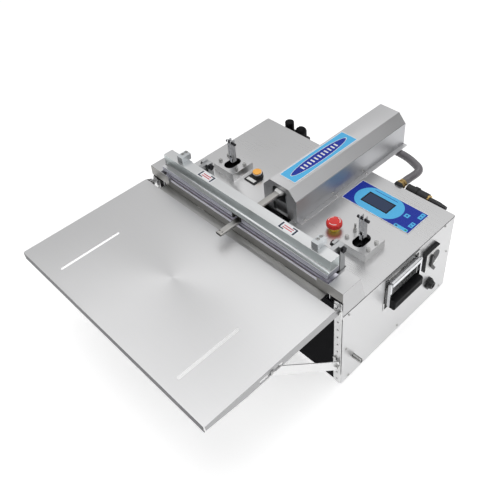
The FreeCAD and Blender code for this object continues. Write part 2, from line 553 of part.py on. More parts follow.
# ---- carry handles ------------------------------------------------------------------------------
def build_handles():
    """Recessed dish, hinge bracket, wire bail and moulded grip on each side."""
    outer = HALF_W + 0.05
    depth = 26.0
    wall = 1.5
    y0 = HANDLE_Y - HANDLE_HALF
    y1 = HANDLE_Y + HANDLE_HALF
    rim = rounded_box(outer, outer + wall, y0 - 4, y1 + 4, HANDLE_BOTTOM - 4, HANDLE_TOP + 4,
                      4, X_AXIS)
    shell = box(HALF_W - depth, outer + 0.5, y0, y1, HANDLE_BOTTOM, HANDLE_TOP)
    hollow = box(HALF_W - depth + wall, outer + 5, y0 + wall, y1 - wall, HANDLE_BOTTOM + wall,
                 HANDLE_TOP - wall)
    node("handle_plates", both_sides(rim.fuse(shell).cut(hollow).removeSplitter()))

    axis_x = HALF_W + 11.0
    half = HANDLE_HALF - 10
    bracket = box(axis_x - 7, axis_x + 6, HANDLE_Y - half, HANDLE_Y + half, HANDLE_PIVOT_Z - 7,
                  HANDLE_PIVOT_Z + 7)
    bracket = bracket.makeFillet(2.4, [e for e in bracket.Edges if e.BoundBox.YLength > 60
                                       and e.CenterOfMass.x > axis_x])
    for side in (-1, 1):
        ys = sorted((HANDLE_Y + side * half, HANDLE_Y + side * (half - 5)))
        bracket = bracket.fuse(box(HALF_W - depth + wall + 0.05, axis_x, ys[0], ys[1],
                                   HANDLE_PIVOT_Z - 7, HANDLE_PIVOT_Z + 7))
    bore = rod(Vec(axis_x, HANDLE_Y - 70, HANDLE_PIVOT_Z), Y_AXIS, 4.1, 140)
    node("handle_brackets", both_sides(bracket.cut(bore).removeSplitter()))

    leg = HANDLE_HALF - 6
    grip_z = HANDLE_PIVOT_Z - HANDLE_DROP
    wire = rod(Vec(axis_x, HANDLE_Y - leg - 3, HANDLE_PIVOT_Z), Y_AXIS, 4.0, 2 * leg + 6)
    wire = wire.fuse(rod(Vec(axis_x, HANDLE_Y - leg, grip_z), Y_AXIS, 3.6, 2 * leg))
    for y in (HANDLE_Y - leg - 3, HANDLE_Y + leg - 3):
        wire = wire.fuse(box(axis_x - 4, axis_x + 4, y, y + 6, grip_z - 6, HANDLE_PIVOT_Z + 4))
    wire = wire.removeSplitter()
    grip = rounded_box(outer + 3.5, HALF_W + 28, HANDLE_Y - leg + 3.5, HANDLE_Y + leg - 3.5,
                       grip_z - 17, grip_z + 17, 7, Y_AXIS)
    grip = grip.cut(rod(Vec(axis_x, HANDLE_Y - 80, grip_z), Y_AXIS, 3.62, 160))
    node("right_handle_bail", wire)
    node("left_handle_bail", mirror_x(wire))
    node("right_handle_grip", grip)
    node("left_handle_grip", mirror_x(grip))


# ---- work table ---------------------------------------------------------------------------------
def build_table():
    """Folded worktable with two slots, slotted side flanges and rear hinge tabs."""
    top = rounded_box(-TABLE_HALF, TABLE_HALF, TABLE_FRONT, TABLE_BACK, TABLE_TOP - SHEET,
                      TABLE_TOP, 5, Z_AXIS)
    parts = [box(-TABLE_HALF + 3, TABLE_HALF - 3, TABLE_FRONT, TABLE_FRONT + SHEET,
                 TABLE_TOP - TABLE_EDGE, TABLE_TOP - 1)]
    for side in (-1, 1):
        xs = sorted((side * TABLE_HALF, side * (TABLE_HALF - SHEET)))
        outline = [
            Vec(xs[0], TABLE_FRONT + 3, TABLE_TOP - 1), Vec(xs[0], TABLE_FRONT + 3, TABLE_TOP - TABLE_EDGE),
            Vec(xs[0], TABLE_FRONT + 110, TABLE_TOP - TABLE_FLANGE),
            Vec(xs[0], TABLE_BACK - 4, TABLE_TOP - TABLE_FLANGE),
            Vec(xs[0], HINGE_Y - 2, HINGE_Z - 9), Vec(xs[0], HINGE_Y + 7, HINGE_Z - 7),
            Vec(xs[0], HINGE_Y + 7, HINGE_Z + 7), Vec(xs[0], TABLE_BACK, TABLE_TOP - 1),
        ]
        parts.append(prism(outline, X_AXIS * SHEET))
    table = top.fuse(parts)
    slot_mid = Vec(0, ARM_BOLT_Y - 3, ARM_BOLT_Z + 0.7)
    for side in (-1, 1):
        x = side * TABLE_HALF
        table = table.cut(box(x - 5, x + 5, slot_mid.y - 34, slot_mid.y + 34, slot_mid.z - 4.8,
                              slot_mid.z + 4.8))
        table = table.cut(rod(Vec(x - 5, HINGE_Y, HINGE_Z), X_AXIS, 4.0, 10))
        table = table.cut(obround(Vec(side * 226, FRONT - 290, TABLE_TOP - 5), 86, 4, 10))
    node("work_table", table.removeSplitter())
    build_table_mounts()


def build_table_mounts():
    """Perforated strips, hinge and arm brackets, pivot pins, and the two support arms."""
    strip_x = HALF_W - 11.0
    strip_front = FRONT - SHEET - 2.4
    strip = rounded_box(strip_x - 10, strip_x + 10, strip_front, FRONT - SHEET - 0.25,
                        BASE + 3, BASE + 316, 5, Y_AXIS)
    for k in range(STRIP_HOLES):
        z = BASE + 18 + STRIP_PITCH * k
        strip = strip.cut(rod(Vec(strip_x, FRONT - 20, z), Y_AXIS, 2.6, 30))
    spacer = box(strip_x - 10, strip_x + 10, FRONT - SHEET - 0.2, FRONT - 0.05, BASE + 6, BASE + 40)
    spacer_top = box(strip_x - 10, strip_x + 10, FRONT - SHEET - 0.2, FRONT - 0.05, BASE + 260,
                     BASE + 290)
    node("perforated_strips", both_sides(strip), both_sides(spacer), both_sides(spacer_top))

    tabs = []
    pins = []
    heads = []
    for y, z in ((HINGE_Y, HINGE_Z), (HINGE_Y, ARM_Z)):
        ear_x = HALF_W - 7.5
        ear = box(ear_x, ear_x + 2.5, y - 8, strip_front - 0.05, z - 8, z + 8)
        plate = box(ear_x - 14, ear_x + 2.5, strip_front - 2.5, strip_front - 0.05, z - 8, z + 8)
        tab = ear.fuse(plate).cut(rod(Vec(ear_x - 5, y, z), X_AXIS, 4.0, 20)).removeSplitter()
        tabs.extend(both_sides(tab))
        pin = rod(Vec(ear_x - 3.5, y, z), X_AXIS, 4.0 - RUN_GAP, 12.5)
        head = hexagon(Vec(ear_x + 9, y, z), X_AXIS, 11, 3)
        collar = rod(Vec(ear_x - 6.5, y, z), X_AXIS, 6, 3.05)
        pins.extend(both_sides(pin.fuse([head, collar])))
    for z in (BASE + 18 + STRIP_PITCH * 9, BASE + 18 + STRIP_PITCH * 3):
        heads.extend(both_sides(hexagon(Vec(strip_x - 6, strip_front - 0.05, z), -Y_AXIS, 9, 4)))
    node("hinge_tabs", tabs)
    node("hinge_pins", pins, heads)

    arms = []
    bolts = []
    low = Vec(0, HINGE_Y, ARM_Z)
    high = Vec(0, ARM_BOLT_Y, ARM_BOLT_Z)
    along = (high - low).normalize()
    across = X_AXIS.cross(along)
    reach = (high - low).Length
    x = HALF_W - 4.6
    outline = [low - across * 12 + along * 2, low - across * 12 + along * reach,
               low + across * 12 + along * reach, low + across * 12 + along * 2]
    bar = prism([Vec(x, p.y, p.z) for p in outline], X_AXIS * 2.2)
    for end in (low, high):
        bar = bar.fuse(rod(Vec(x, end.y, end.z), X_AXIS, 12, 2.2))
    bar = bar.cut(rod(Vec(x - 5, low.y, low.z), X_AXIS, 4.0, 20)).removeSplitter()
    bar = bar.cut(rod(Vec(x - 5, high.y, high.z), X_AXIS, 3.0, 20))
    bar = bar.cut(box(HALF_W - 40, HALF_W + 40, FRONT - 6.9, FRONT + 30, BASE, BASE + 200))
    arms.extend(both_sides(bar))
    bolt = rod(Vec(x - 3, high.y, high.z), X_AXIS, 2.98, 13)
    bolt = bolt.fuse(hexagon(Vec(HALF_W + 0.5, high.y, high.z), X_AXIS, 11, 5))
    bolt = bolt.fuse(rod(Vec(x - 4, high.y, high.z), X_AXIS, 5.5, 3.95))
    bolts.extend(both_sides(bolt.removeSplitter()))
    node("support_arms", arms, bolts)


# ---- air and vacuum line ------------------------------------------------------------------------
def build_air_line():
    """Regulators with their knobs, vacuum hose, brass fitting, filter and valve gland."""
    back = FRONT + DEPTH
    bodies = []
    for x, name in zip(KNOB_XS, ("left_regulator_knob", "right_regulator_knob")):
        block = box(x - 20, x + 20, back + 0.05, back + 42, BASE + 190, BASE + 240)
        bowl = rod(Vec(x, KNOB_Y, BASE + 120), Z_AXIS, 17, 71)
        collar = rod(Vec(x, KNOB_Y, BASE + 239), Z_AXIS, 12, 8)
        bodies.append(block.fuse([bowl, collar]).cut(
            rod(Vec(x, KNOB_Y, BASE + 225), Z_AXIS, 5.05, 40)).removeSplitter())
        radius, crown = (14.5, 3.0) if x < -250 else (18.0, 15.0)
        top = BASE + (280.4 if x < -250 else 279.0)
        knob = rod(Vec(x, KNOB_Y, BASE + 247.4), Z_AXIS, radius, top - BASE - 247.4)
        knob = knob.makeFillet(crown, [e for e in knob.Edges if len(e.Vertexes) == 1
                                       and e.CenterOfMass.z > top - 1])
        for k in range(16):
            angle = math.tau * k / 16
            flute = Vec(x + (radius + 0.8) * math.cos(angle),
                        KNOB_Y + (radius + 0.8) * math.sin(angle), BASE + 246)
            knob = knob.cut(rod(flute, Z_AXIS, 1.7, top - crown - BASE - 246))
        node(name, knob.fuse(rod(Vec(x, KNOB_Y, BASE + 230), Z_AXIS, 5.0, 20)).removeSplitter())
    node("regulator_bodies", bodies)

    mouth = Vec(165, back + 0.05, BASE + 266)
    nut = hexagon(mouth, Y_AXIS, 30, 5.5)
    hex_part = hexagon(mouth + Y_AXIS * 5.6, Y_AXIS, 28, 8)
    neck = rod(mouth + Y_AXIS * 13.6, Y_AXIS, 10, 5)
    second = hexagon(mouth + Y_AXIS * 18.6, Y_AXIS, 24, 7.4)
    fitting = hex_part.fuse([neck, second]).removeSplitter()
    points = [Vec(28, FRONT + 598, BASE + 255), Vec(90, FRONT + 598, BASE + 255),
              Vec(172, FRONT + 544.5, BASE + 280), Vec(165, FRONT + 511.5, BASE + 266),
              Vec(165, FRONT + 482.4, BASE + 266)]
    node("vacuum_hose", bend_tube(points, 12.0))
    manifold = box(-57.9, 57.9, FRONT + 580, FRONT + 621, BASE + 273, BASE + 335)
    elbow = box(-4, 40, FRONT + 583, FRONT + 613, BASE + 240, BASE + 274)
    socket = rod(Vec(26, FRONT + 598, BASE + 255), X_AXIS, 12.05, 40)
    port = rod(Vec(0, FRONT + 545, BASE + 300), Y_AXIS, 14, 36)
    node("suction_manifold", manifold.fuse([elbow, port]).cut(socket).removeSplitter())

    bracket_z = BASE + 258
    can = rod(Vec(183, FRONT + 478, bracket_z), X_AXIS, 13.5, 68)
    node("brass_fittings", fitting, rod(Vec(251.1, FRONT + 478, bracket_z), X_AXIS, 11.5, 6))
    gland = rod(Vec(257.2, FRONT + 476, bracket_z), X_AXIS, 8, 30)
    tip = Part.makeCone(8, 5, 24, Vec(287.2, FRONT + 476, bracket_z), X_AXIS)
    clip = box(206, 218, back + 0.05, FRONT + 463.2, BASE + 225, BASE + 262)
    loop = ring(Vec(206, FRONT + 478, bracket_z), X_AXIS, 16, 13.55, 12)
    node("vacuum_filter", can, gland.fuse(tip), clip.fuse(loop).removeSplitter(), nut)


def build_internals():
    """Vacuum pump, transformer and valve block on the base tray."""
    floor = BASE + SHEET + 0.05
    pump = box(-60, 110, FRONT + 250, FRONT + 350, floor, floor + 16)
    motor = rod(Vec(-50, FRONT + 300, floor + 70), X_AXIS, 56, 95)
    head = box(42, 110, FRONT + 262, FRONT + 338, floor + 14, floor + 128)
    node("vacuum_pump", pump.fuse([motor, head]).removeSplitter())
    core = box(-190, -100, FRONT + 340, FRONT + 420, floor, floor + 76)
    coil = box(-176, -114, FRONT + 326, FRONT + 434, floor + 14, floor + 62)
    node("heating_transformer", core.fuse(coil).removeSplitter())
    block = box(150, 280, FRONT + 380, FRONT + 420, floor, floor + 30)
    valves = [box(x, x + 24, FRONT + 384, FRONT + 416, floor + 29, floor + 84)
              for x in (155, 187, 219, 251)]
    node("solenoid_valves", block.fuse(valves).removeSplitter())


def export_nodes():
    """Writes each node to its own STEP file and prints its volume."""
    os.makedirs("parts", exist_ok=True)
    for name in sorted(NODES):
        shape = NODES[name]
        shape.exportStep("parts/%s.step" % name)
        flag = "" if shape.isValid() and all(s.isClosed() for s in shape.Shells) else "  INVALID"
        print("%-22s solids %2d volume %10.0f%s" % (name, len(shape.Solids), shape.Volume, flag))


build_cabinet()
build_screws()
build_lower_jaw()
build_upper_jaw()
build_lift_cylinders()
build_nozzle()
build_controls()
build_side_controls()
build_handles()
build_table()
build_air_line()
build_internals()
export_nodes()
box_all = Part.makeCompound(list(NODES.values())).BoundBox
print("box X %.2f..%.2f Y %.2f..%.2f Z %.2f..%.2f" % (
    box_all.XMin, box_all.XMax, box_all.YMin, box_all.YMax, box_all.ZMin, box_all.ZMax))
print("nodes", len(NODES))
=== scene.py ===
"""Looks of the benchtop nozzle vacuum sealer, built around its packed mechanical frame.

Lengths are metres in the frame's own axes: +X to the operator's right, +Y away from them, +Z up.
Patterns are worked out in millimetres. Each sub-assembly is a class that takes its places from the
frame's nodes, builds its pieces and dresses them.
"""

import json
import logging
import math
from dataclasses import dataclass, field
from enum import Enum
from typing import Iterable, Sequence

import bmesh
import bpy
from mathutils import Matrix, Vector

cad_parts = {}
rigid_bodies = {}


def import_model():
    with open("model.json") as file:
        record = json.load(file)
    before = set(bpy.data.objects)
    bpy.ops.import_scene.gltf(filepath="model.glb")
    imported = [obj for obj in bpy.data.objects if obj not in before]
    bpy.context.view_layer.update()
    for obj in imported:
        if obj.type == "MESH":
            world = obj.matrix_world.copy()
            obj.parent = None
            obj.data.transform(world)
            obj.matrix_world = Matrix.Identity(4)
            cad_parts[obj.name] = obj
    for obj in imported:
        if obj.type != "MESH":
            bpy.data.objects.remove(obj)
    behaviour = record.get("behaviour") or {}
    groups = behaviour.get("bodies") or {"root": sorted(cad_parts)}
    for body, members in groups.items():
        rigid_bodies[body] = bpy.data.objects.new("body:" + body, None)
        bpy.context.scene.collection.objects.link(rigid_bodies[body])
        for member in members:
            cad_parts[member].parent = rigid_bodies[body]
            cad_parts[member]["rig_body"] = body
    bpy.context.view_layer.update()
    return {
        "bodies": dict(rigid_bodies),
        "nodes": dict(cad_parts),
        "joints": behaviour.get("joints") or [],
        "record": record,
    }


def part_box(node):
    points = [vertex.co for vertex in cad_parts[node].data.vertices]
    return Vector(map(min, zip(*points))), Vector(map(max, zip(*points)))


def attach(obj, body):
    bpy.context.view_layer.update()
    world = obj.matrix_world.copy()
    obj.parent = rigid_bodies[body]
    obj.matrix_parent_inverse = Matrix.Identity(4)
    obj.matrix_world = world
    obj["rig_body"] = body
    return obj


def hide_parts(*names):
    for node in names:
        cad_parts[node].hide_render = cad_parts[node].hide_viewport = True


LOG = logging.getLogger("sealer")
MM = 0.001
RING_STEP = 0.0008
HAIR = 0.00001
WELD = 2e-6
FLAT = 0.4
HEAD_SIDES = 24
Rgb = tuple[float, float, float]


class Axis(Enum):
    """The frame's axes, with the two that lie across each."""
    X = (0, 1, 2)
    Y = (1, 2, 0)
    Z = (2, 0, 1)

    def place(self, along: float, first: float, second: float) -> Vector:
        """Puts a length along this axis and two lengths across it into one point.

        Args:
            along: distance along this axis.
            first: distance along the next axis, in X, Y, Z order, round and round.
            second: distance along the one after that.

        Returns:
            The point.
        """
        point = [0.0, 0.0, 0.0]
        for index, value in zip(self.value, (along, first, second)):
            point[index] = value
        return Vector(point)

    @property
    def unit(self) -> Vector:
        """A vector of length one along this axis."""
        return self.place(1, 0, 0)


# ---- shader maths -------------------------------------------------------------------------------
class Val:
    """A number on its way through a material, with Python's operators on it."""

    def __init__(self, shade: "Graph", socket: bpy.types.NodeSocket) -> None:
        """Wraps a socket of a material that is being built."""
        self.shade = shade
        self.socket = socket

    def math(self, operation: str, *others: "Val | float", clamp: bool = False) -> "Val":
        """Runs one Math node on this value.

        Args:
            operation: the Math node's operation.
            others: further values.
            clamp: keeps the result between 0 and 1.

        Returns:
            The node's result.
        """
        values = {index: value for index, value in enumerate((self, *others))}
        settings = {"operation": operation, "use_clamp": clamp}
        return Val(self.shade, self.shade.node("ShaderNodeMath", settings, values).outputs[0])

    def flipped(self, operation: str, other: "Val | float") -> "Val":
        """Runs a Math node with this value in second place.

        Args:
            operation: the node's operation.
            other: what stands in first place.

        Returns:
            The node's result.
        """
        settings = {"operation": operation}
        values = {0: other, 1: self}
        return Val(self.shade, self.shade.node("ShaderNodeMath", settings, values).outputs[0])

    def __add__(self, other: "Val | float") -> "Val":
        """Sum."""
        return self.math("ADD", other)

    def __sub__(self, other: "Val | float") -> "Val":
        """Difference."""
        return self.math("SUBTRACT", other)

    def __mul__(self, other: "Val | float") -> "Val":
        """Product."""
        return self.math("MULTIPLY", other)

    def __truediv__(self, other: "Val | float") -> "Val":
        """Quotient."""
        return self.math("DIVIDE", other)

    def __mod__(self, other: float) -> "Val":
        """Remainder, never below zero."""
        return self.math("FLOORED_MODULO", other)

    def __abs__(self) -> "Val":
        """Size without sign."""
        return self.math("ABSOLUTE")

    def __gt__(self, other: "Val | float") -> "Val":
        """One where this is larger, otherwise zero."""
        return self.math("GREATER_THAN", other)

    def __lt__(self, other: "Val | float") -> "Val":
        """One where this is smaller, otherwise zero."""
        return self.math("LESS_THAN", other)

    def __rsub__(self, other: float) -> "Val":
        """A plain number less this."""
        return self.flipped("SUBTRACT", other)

    __radd__ = __add__
    __rmul__ = __mul__

    def least(self, other: "Val | float") -> "Val":
        """The smaller of two values."""
        return self.math("MINIMUM", other)

    def ramp(self, low: float, high: float) -> "Val":
        """Nought at low, one at high, straight between and level beyond."""
        return ((self - low) / (high - low)).math("ADD", 0.0, clamp=True)


Colour = Rgb | bpy.types.NodeSocket


class Graph:
    """A node tree while it is built."""

    def __init__(self, tree: bpy.types.NodeTree) -> None:
        """Takes the tree to build in."""
        self.tree = tree

    def node(self, kind: str, settings: dict | None = None,
             values: dict | None = None) -> bpy.types.Node:
        """Adds a node.

        Args:
            kind: the node's type.
            settings: its properties, set before its sockets.
            values: a number, colour, socket or Val for each input, by name or place.

        Returns:
            The node.
        """
        made = self.tree.nodes.new(kind)
        for key, value in (settings or {}).items():
            setattr(made, key, value)
        for key, value in (values or {}).items():
            self.feed(made.inputs[key], value)
        return made

    def feed(self, socket: bpy.types.NodeSocket, value: object) -> None:
        """Links or sets one input.

        Args:
            socket: the input.
            value: a Val or a socket to link, or a plain value to set.
        """
        if isinstance(value, Val):
            self.tree.links.new(value.socket, socket)
        elif isinstance(value, bpy.types.NodeSocket):
            self.tree.links.new(value, socket)
        elif isinstance(value, tuple) and len(value) == 3 and socket.type == "RGBA":
            socket.default_value = (*value, 1.0)
        else:
            socket.default_value = value


class Shade(Graph):
    """One material while it is built: a principled shader and the nodes that feed it."""

    def __init__(self, name: str) -> None:
        """Starts an empty material.

        Args:
            name: the material's name.
        """
        self.material = bpy.data.materials.new(name)
        self.material.use_nodes = True
        super().__init__(self.material.node_tree)
        self.surface = self.tree.nodes["Principled BSDF"]

    def set(self, **values: object) -> "Shade":
        """Feeds the principled shader.

        Args:
            values: what goes into each input, its name's spaces written as underscores.

        Returns:
            The shade itself.
        """
        for key, value in values.items():
            self.feed(self.surface.inputs[key.replace("_", " ")], value)
        return self

    def place(self) -> tuple[Val, Val, Val]:
        """Where the surface is in the frame.

        Returns:
            X, Y and Z in millimetres.
        """
        coordinates = self.node("ShaderNodeTexCoord").outputs["Object"]
        parts = self.node("ShaderNodeSeparateXYZ", {}, {0: coordinates})
        x, y, z = (Val(self, output) * (1 / MM) for output in parts.outputs)
        return x, y, z

    def noise(self, size: Sequence[float], detail: float = 3.0, rough: float = 0.55) -> Val:
        """Noise on the frame's coordinates.

        Args:
            size: millimetres that one patch takes along X, Y and Z.
            detail: octaves.
            rough: strength of the finer octaves.

        Returns:
            Values about one half.
        """
        coordinates = self.node("ShaderNodeTexCoord").outputs["Object"]
        scale = tuple(1 / (MM * s) for s in size)
        stretched = self.node("ShaderNodeMapping", {}, {"Vector": coordinates, "Scale": scale})
        made = self.node("ShaderNodeTexNoise", {}, {
            "Vector": stretched.outputs[0], "Scale": 1.0, "Detail": detail, "Roughness": rough})
        return Val(self, made.outputs["Fac"])

    def mix(self, factor: "Val | float", first: Colour, second: Colour) -> bpy.types.NodeSocket:
        """Blends two colours; a factor of one gives the second."""
        made = self.node("ShaderNodeMix", {"data_type": "RGBA"}, {0: factor, 6: first, 7: second})
        return made.outputs[2]

    def bump(self, height: Val, distance: float, strength: float = 1.0) -> "Shade":
        """Feeds the Normal with a height.

        Args:
            height: the height, in units of distance.
            distance: metres that one unit stands for.
            strength: how much of it shows.
        """
        made = self.node("ShaderNodeBump", {}, {
            "Height": height, "Distance": distance, "Strength": strength})
        return self.set(Normal=made.outputs[0])


@dataclass(frozen=True)
class Patch:
    """A printed shape: a centre, half sizes across and along, and an ink."""
    centre: tuple[float, float]
    half: tuple[float, float]
    ink: Rgb

    def mask(self, x: Val, y: Val) -> Val:
        """One inside the rectangle, otherwise zero."""
        return (abs(x - self.centre[0]) < self.half[0]) * (abs(y - self.centre[1]) < self.half[1])


@dataclass(frozen=True)
class Pill(Patch):
    """A patch whose ends across X are half round."""

    def mask(self, x: Val, y: Val) -> Val:
        """Where the pill is.

        Args:
            x: place along X, in millimetres.
            y: place along Y, in millimetres.

        Returns:
            One inside the pill, otherwise zero.
        """
        radius = self.half[1]
        dx = (abs(x - self.centre[0]) - (self.half[0] - radius)).math("MAXIMUM", 0.0)
        dy = y - self.centre[1]
        return (dx * dx + dy * dy).math("SQRT") < radius


@dataclass(frozen=True)
class Oval(Patch):
    """An ellipse."""

    def mask(self, x: Val, y: Val) -> Val:
        """Where the ellipse is.

        Args:
            x: place along X, in millimetres.
            y: place along Y, in millimetres.

        Returns:
            One inside the ellipse, otherwise zero.
        """
        dx = (x - self.centre[0]) / self.half[0]
        dy = (y - self.centre[1]) / self.half[1]
        return (dx * dx + dy * dy) < 1.0


@dataclass(frozen=True)
class Bars(Patch):
    """A row of equal plain bars along Y."""
    pitch: float = 14.0
    width: float = 5.0

    def mask(self, x: Val, y: Val) -> Val:
        """One inside a bar, otherwise zero."""
        row = ((y - self.centre[1] + self.pitch / 2) % self.pitch) - self.pitch / 2
        return super().mask(x, y) * (abs(row) < self.width / 2)


# ---- finishes -----------------------------------------------------------------------------------
@dataclass(frozen=True)
class Finish:
    """A finish with a name; each kind of finish mixes its own shader."""
    name: str
    colour: Rgb

    def dress(self, shade: Shade) -> None:
        """Sets up the shader of a plain finish."""
        shade.set(Base_Color=self.colour, Roughness=0.5)

    def material(self) -> bpy.types.Material:
        """Makes the finish's material the first time it is asked for.

        Returns:
            The material.
        """
        known = bpy.data.materials.get(self.name)
        if known is None:
            shade = Shade(self.name)
            self.dress(shade)
            known = shade.material
        return known


@dataclass(frozen=True)
class PaintedLightZone:
    """A stretch along one axis, in millimetres, where a metal is painted lighter or darker:
    painted light and shade on chosen faces.
    """
    axis: Axis
    start: float
    end: float
    painted_tint: Rgb

    def mask(self, place: Sequence[Val]) -> Val:
        """One inside the stretch, otherwise zero."""
        along = place[self.axis.value[0]]
        return (along > self.start) * (along < self.end)


@dataclass(frozen=True)
class Brushed(Finish):
    """Sheet metal with a grain along one axis, soft cloudy wear, faint scratches and zones of
    painted light and shade.
    """
    grain: Axis = Axis.X
    rough: float = 0.34
    contrast: float = 0.10
    long: float = 90.0
    fine: float = 0.55
    painted_light_zones: tuple[PaintedLightZone, ...] = ()

    def dress(self, shade: Shade) -> None:
        """Mixes grain, clouds and fine lines into colour, gloss and bump, and paints each zone's
        light or shade into the colour.

        Args:
            shade: the material that is being built.
        """
        size = [self.fine] * 3
        size[self.grain.value[0]] = self.long
        grain = shade.noise(size, 2.0, 0.6)
        coarse = shade.noise([4 * s for s in size], 2.0, 0.5)
        clouds = shade.noise((170, 170, 170), 2.0, 0.45)
        streak = (grain - 0.5) * self.contrast + (coarse - 0.5) * self.contrast
        tone = (streak + (clouds - 0.5) * 0.16 + 0.5).math("ADD", 0.0, clamp=True)
        dark = tuple(0.78 * c for c in self.colour)
        light = tuple(min(1.0, 1.16 * c) for c in self.colour)
        colour = shade.mix(tone, dark, light)
        place = shade.place()
        # Painted light and shade: each zone swaps the colour for its lighter or darker painted
        # tone.
        for zone in self.painted_light_zones:
            colour = shade.mix(zone.mask(place), colour, zone.painted_tint)
        shade.set(Base_Color=colour, Metallic=1.0, Anisotropic=0.35,
                  Roughness=(grain - 0.5) * 0.10 + (clouds - 0.5) * 0.10 + self.rough)
        shade.bump(grain, 0.00004, 0.5)


@dataclass(frozen=True)
class Plated(Finish):
    """Bright turned or plated metal with faint handling marks."""
    rough: float = 0.2

    def dress(self, shade: Shade) -> None:
        """Mixes blotches into colour and gloss.

        Args:
            shade: the material that is being built.
        """
        marks = shade.noise((6, 6, 6), 4.0, 0.6)
        dark = tuple(0.7 * c for c in self.colour)
        shade.set(Base_Color=shade.mix(marks.ramp(0.3, 0.75), dark, self.colour), Metallic=1.0,
                  Roughness=(marks - 0.5) * 0.25 + self.rough)
        shade.bump(shade.noise((0.8, 0.8, 0.8), 2.0), 0.00003, 0.4)


@dataclass(frozen=True)
class Moulded(Finish):
    """Moulded plastic or rubber with a fine leathery grain."""
    rough: float = 0.45
    grain: float = 0.7
    depth: float = 0.00005
    shine: float = 0.5

    def dress(self, shade: Shade) -> None:
        """Mixes grain and dust into colour, gloss and bump.

        Args:
            shade: the material that is being built.
        """
        skin = shade.noise((self.grain,) * 3, 2.0, 0.6)
        dust = shade.noise((35, 35, 35), 3.0, 0.55).ramp(0.45, 0.8)
        pale = tuple(min(1.0, 1.35 * c + 0.012) for c in self.colour)
        shade.set(Base_Color=shade.mix(dust * 0.7, self.colour, pale),
                  Roughness=(skin - 0.5) * 0.18 + dust * 0.08 + self.rough,
                  Specular_IOR_Level=self.shine)
        shade.bump(skin, self.depth, 0.6)


@dataclass(frozen=True)
class Coated(Finish):
    """Powder coat with a little orange peel."""
    rough: float = 0.4
    shine: float = 0.5

    def dress(self, shade: Shade) -> None:
        """Mixes peel and clouds.

        Args:
            shade: the material that is being built.
        """
        peel = shade.noise((1.6, 1.6, 1.6), 1.0, 0.4)
        clouds = shade.noise((120, 120, 120), 2.0)
        shade.set(Base_Color=shade.mix(clouds, self.colour, tuple(1.5 * c for c in self.colour)),
                  Roughness=(peel - 0.5) * 0.15 + self.rough, Specular_IOR_Level=self.shine)
        shade.bump(peel, 0.00006, 0.5)


@dataclass(frozen=True)
class Woven(Finish):
    """Woven glass tape."""
    pitch: float = 0.9

    def dress(self, shade: Shade) -> None:
        """Crossed threads along X and Y.

        Args:
            shade: the material that is being built.
        """
        x, y, _ = shade.place()
        turn = math.tau / self.pitch
        threads = (x * turn).math("SINE") * (y * turn).math("SINE")
        dark = tuple(0.55 * c for c in self.colour)
        shade.set(Base_Color=shade.mix(threads.ramp(-1, 1), dark, self.colour), Roughness=0.55)
        shade.bump(threads, 0.00008, 0.7)


@dataclass(frozen=True)
class Ribbed(Finish):
    """Hose wall with a reinforcing braid that shows as crossed lines."""
    pitch: float = 5.0

    def dress(self, shade: Shade) -> None:
        """Crossed lines round the hose.

        Args:
            shade: the material that is being built.
        """
        x, y, z = shade.place()
        turn = math.tau / self.pitch
        one = ((x + y + z) * turn).math("SINE")
        two = ((x - y - z) * turn).math("SINE")
        braid = abs(one).least(abs(two)).ramp(0.02, 0.30)
        pale = tuple(min(1.0, 1.55 * c) for c in self.colour)
        shade.set(Base_Color=shade.mix(braid, pale, self.colour), Roughness=0.38,
                  Coat_Weight=0.3)
        shade.bump(braid, 0.0001, 0.5)


@dataclass(frozen=True)
class Printed(Finish):
    """A printed film: a base colour and plain shapes painted over it in order."""
    shapes: tuple[Patch, ...] = ()
    gloss: float = 0.28

    def dress(self, shade: Shade) -> None:
        """Paints the shapes by their place in X and Y.

        Args:
            shade: the material that is being built.
        """
        x, y, _ = shade.place()
        colour: Colour = self.colour
        for shape in self.shapes:
            colour = shade.mix(shape.mask(x, y), colour, shape.ink)
        skin = shade.noise((1.1, 1.1, 1.1), 1.0)
        shade.set(Base_Color=colour, Roughness=(skin - 0.5) * 0.1 + self.gloss,
                  Specular_IOR_Level=0.25)
        shade.bump(skin, 0.00002, 0.4)


@dataclass(frozen=True)
class TwoTone(Moulded):
    """A moulding that is pale up to a place along X and dark beyond it."""
    pale: Rgb = (0.62, 0.62, 0.61)
    step: float = 0.0

    def dress(self, shade: Shade) -> None:
        """Adds the step to the moulding's grain.

        Args:
            shade: the material that is being built.
        """
        super().dress(shade)
        x, _, _ = shade.place()
        tone = shade.mix((x > self.step), self.pale, self.colour)
        shade.set(Base_Color=tone)


@dataclass(frozen=True)
class Glowing(Finish):
    """A coloured cap that lets light through, with a cloudy tone and a faint painted glow for that
    light.
    """
    def dress(self, shade: Shade) -> None:
        """Mixes a cloudy tone and paints a faint glow of it.

        Args:
            shade: the material that is being built.
        """
        clouds = shade.noise((9, 9, 9), 2.0)
        pale = tuple(min(1.0, 1.3 * c + 0.05) for c in self.colour)
        tone = shade.mix(clouds, self.colour, pale)
        # Painted glow: a faint emission of the cap's own tone.
        shade.set(Base_Color=tone, Roughness=(clouds - 0.5) * 0.1 + 0.25, Coat_Weight=0.6,
                  Emission_Color=tone, Emission_Strength=0.12)


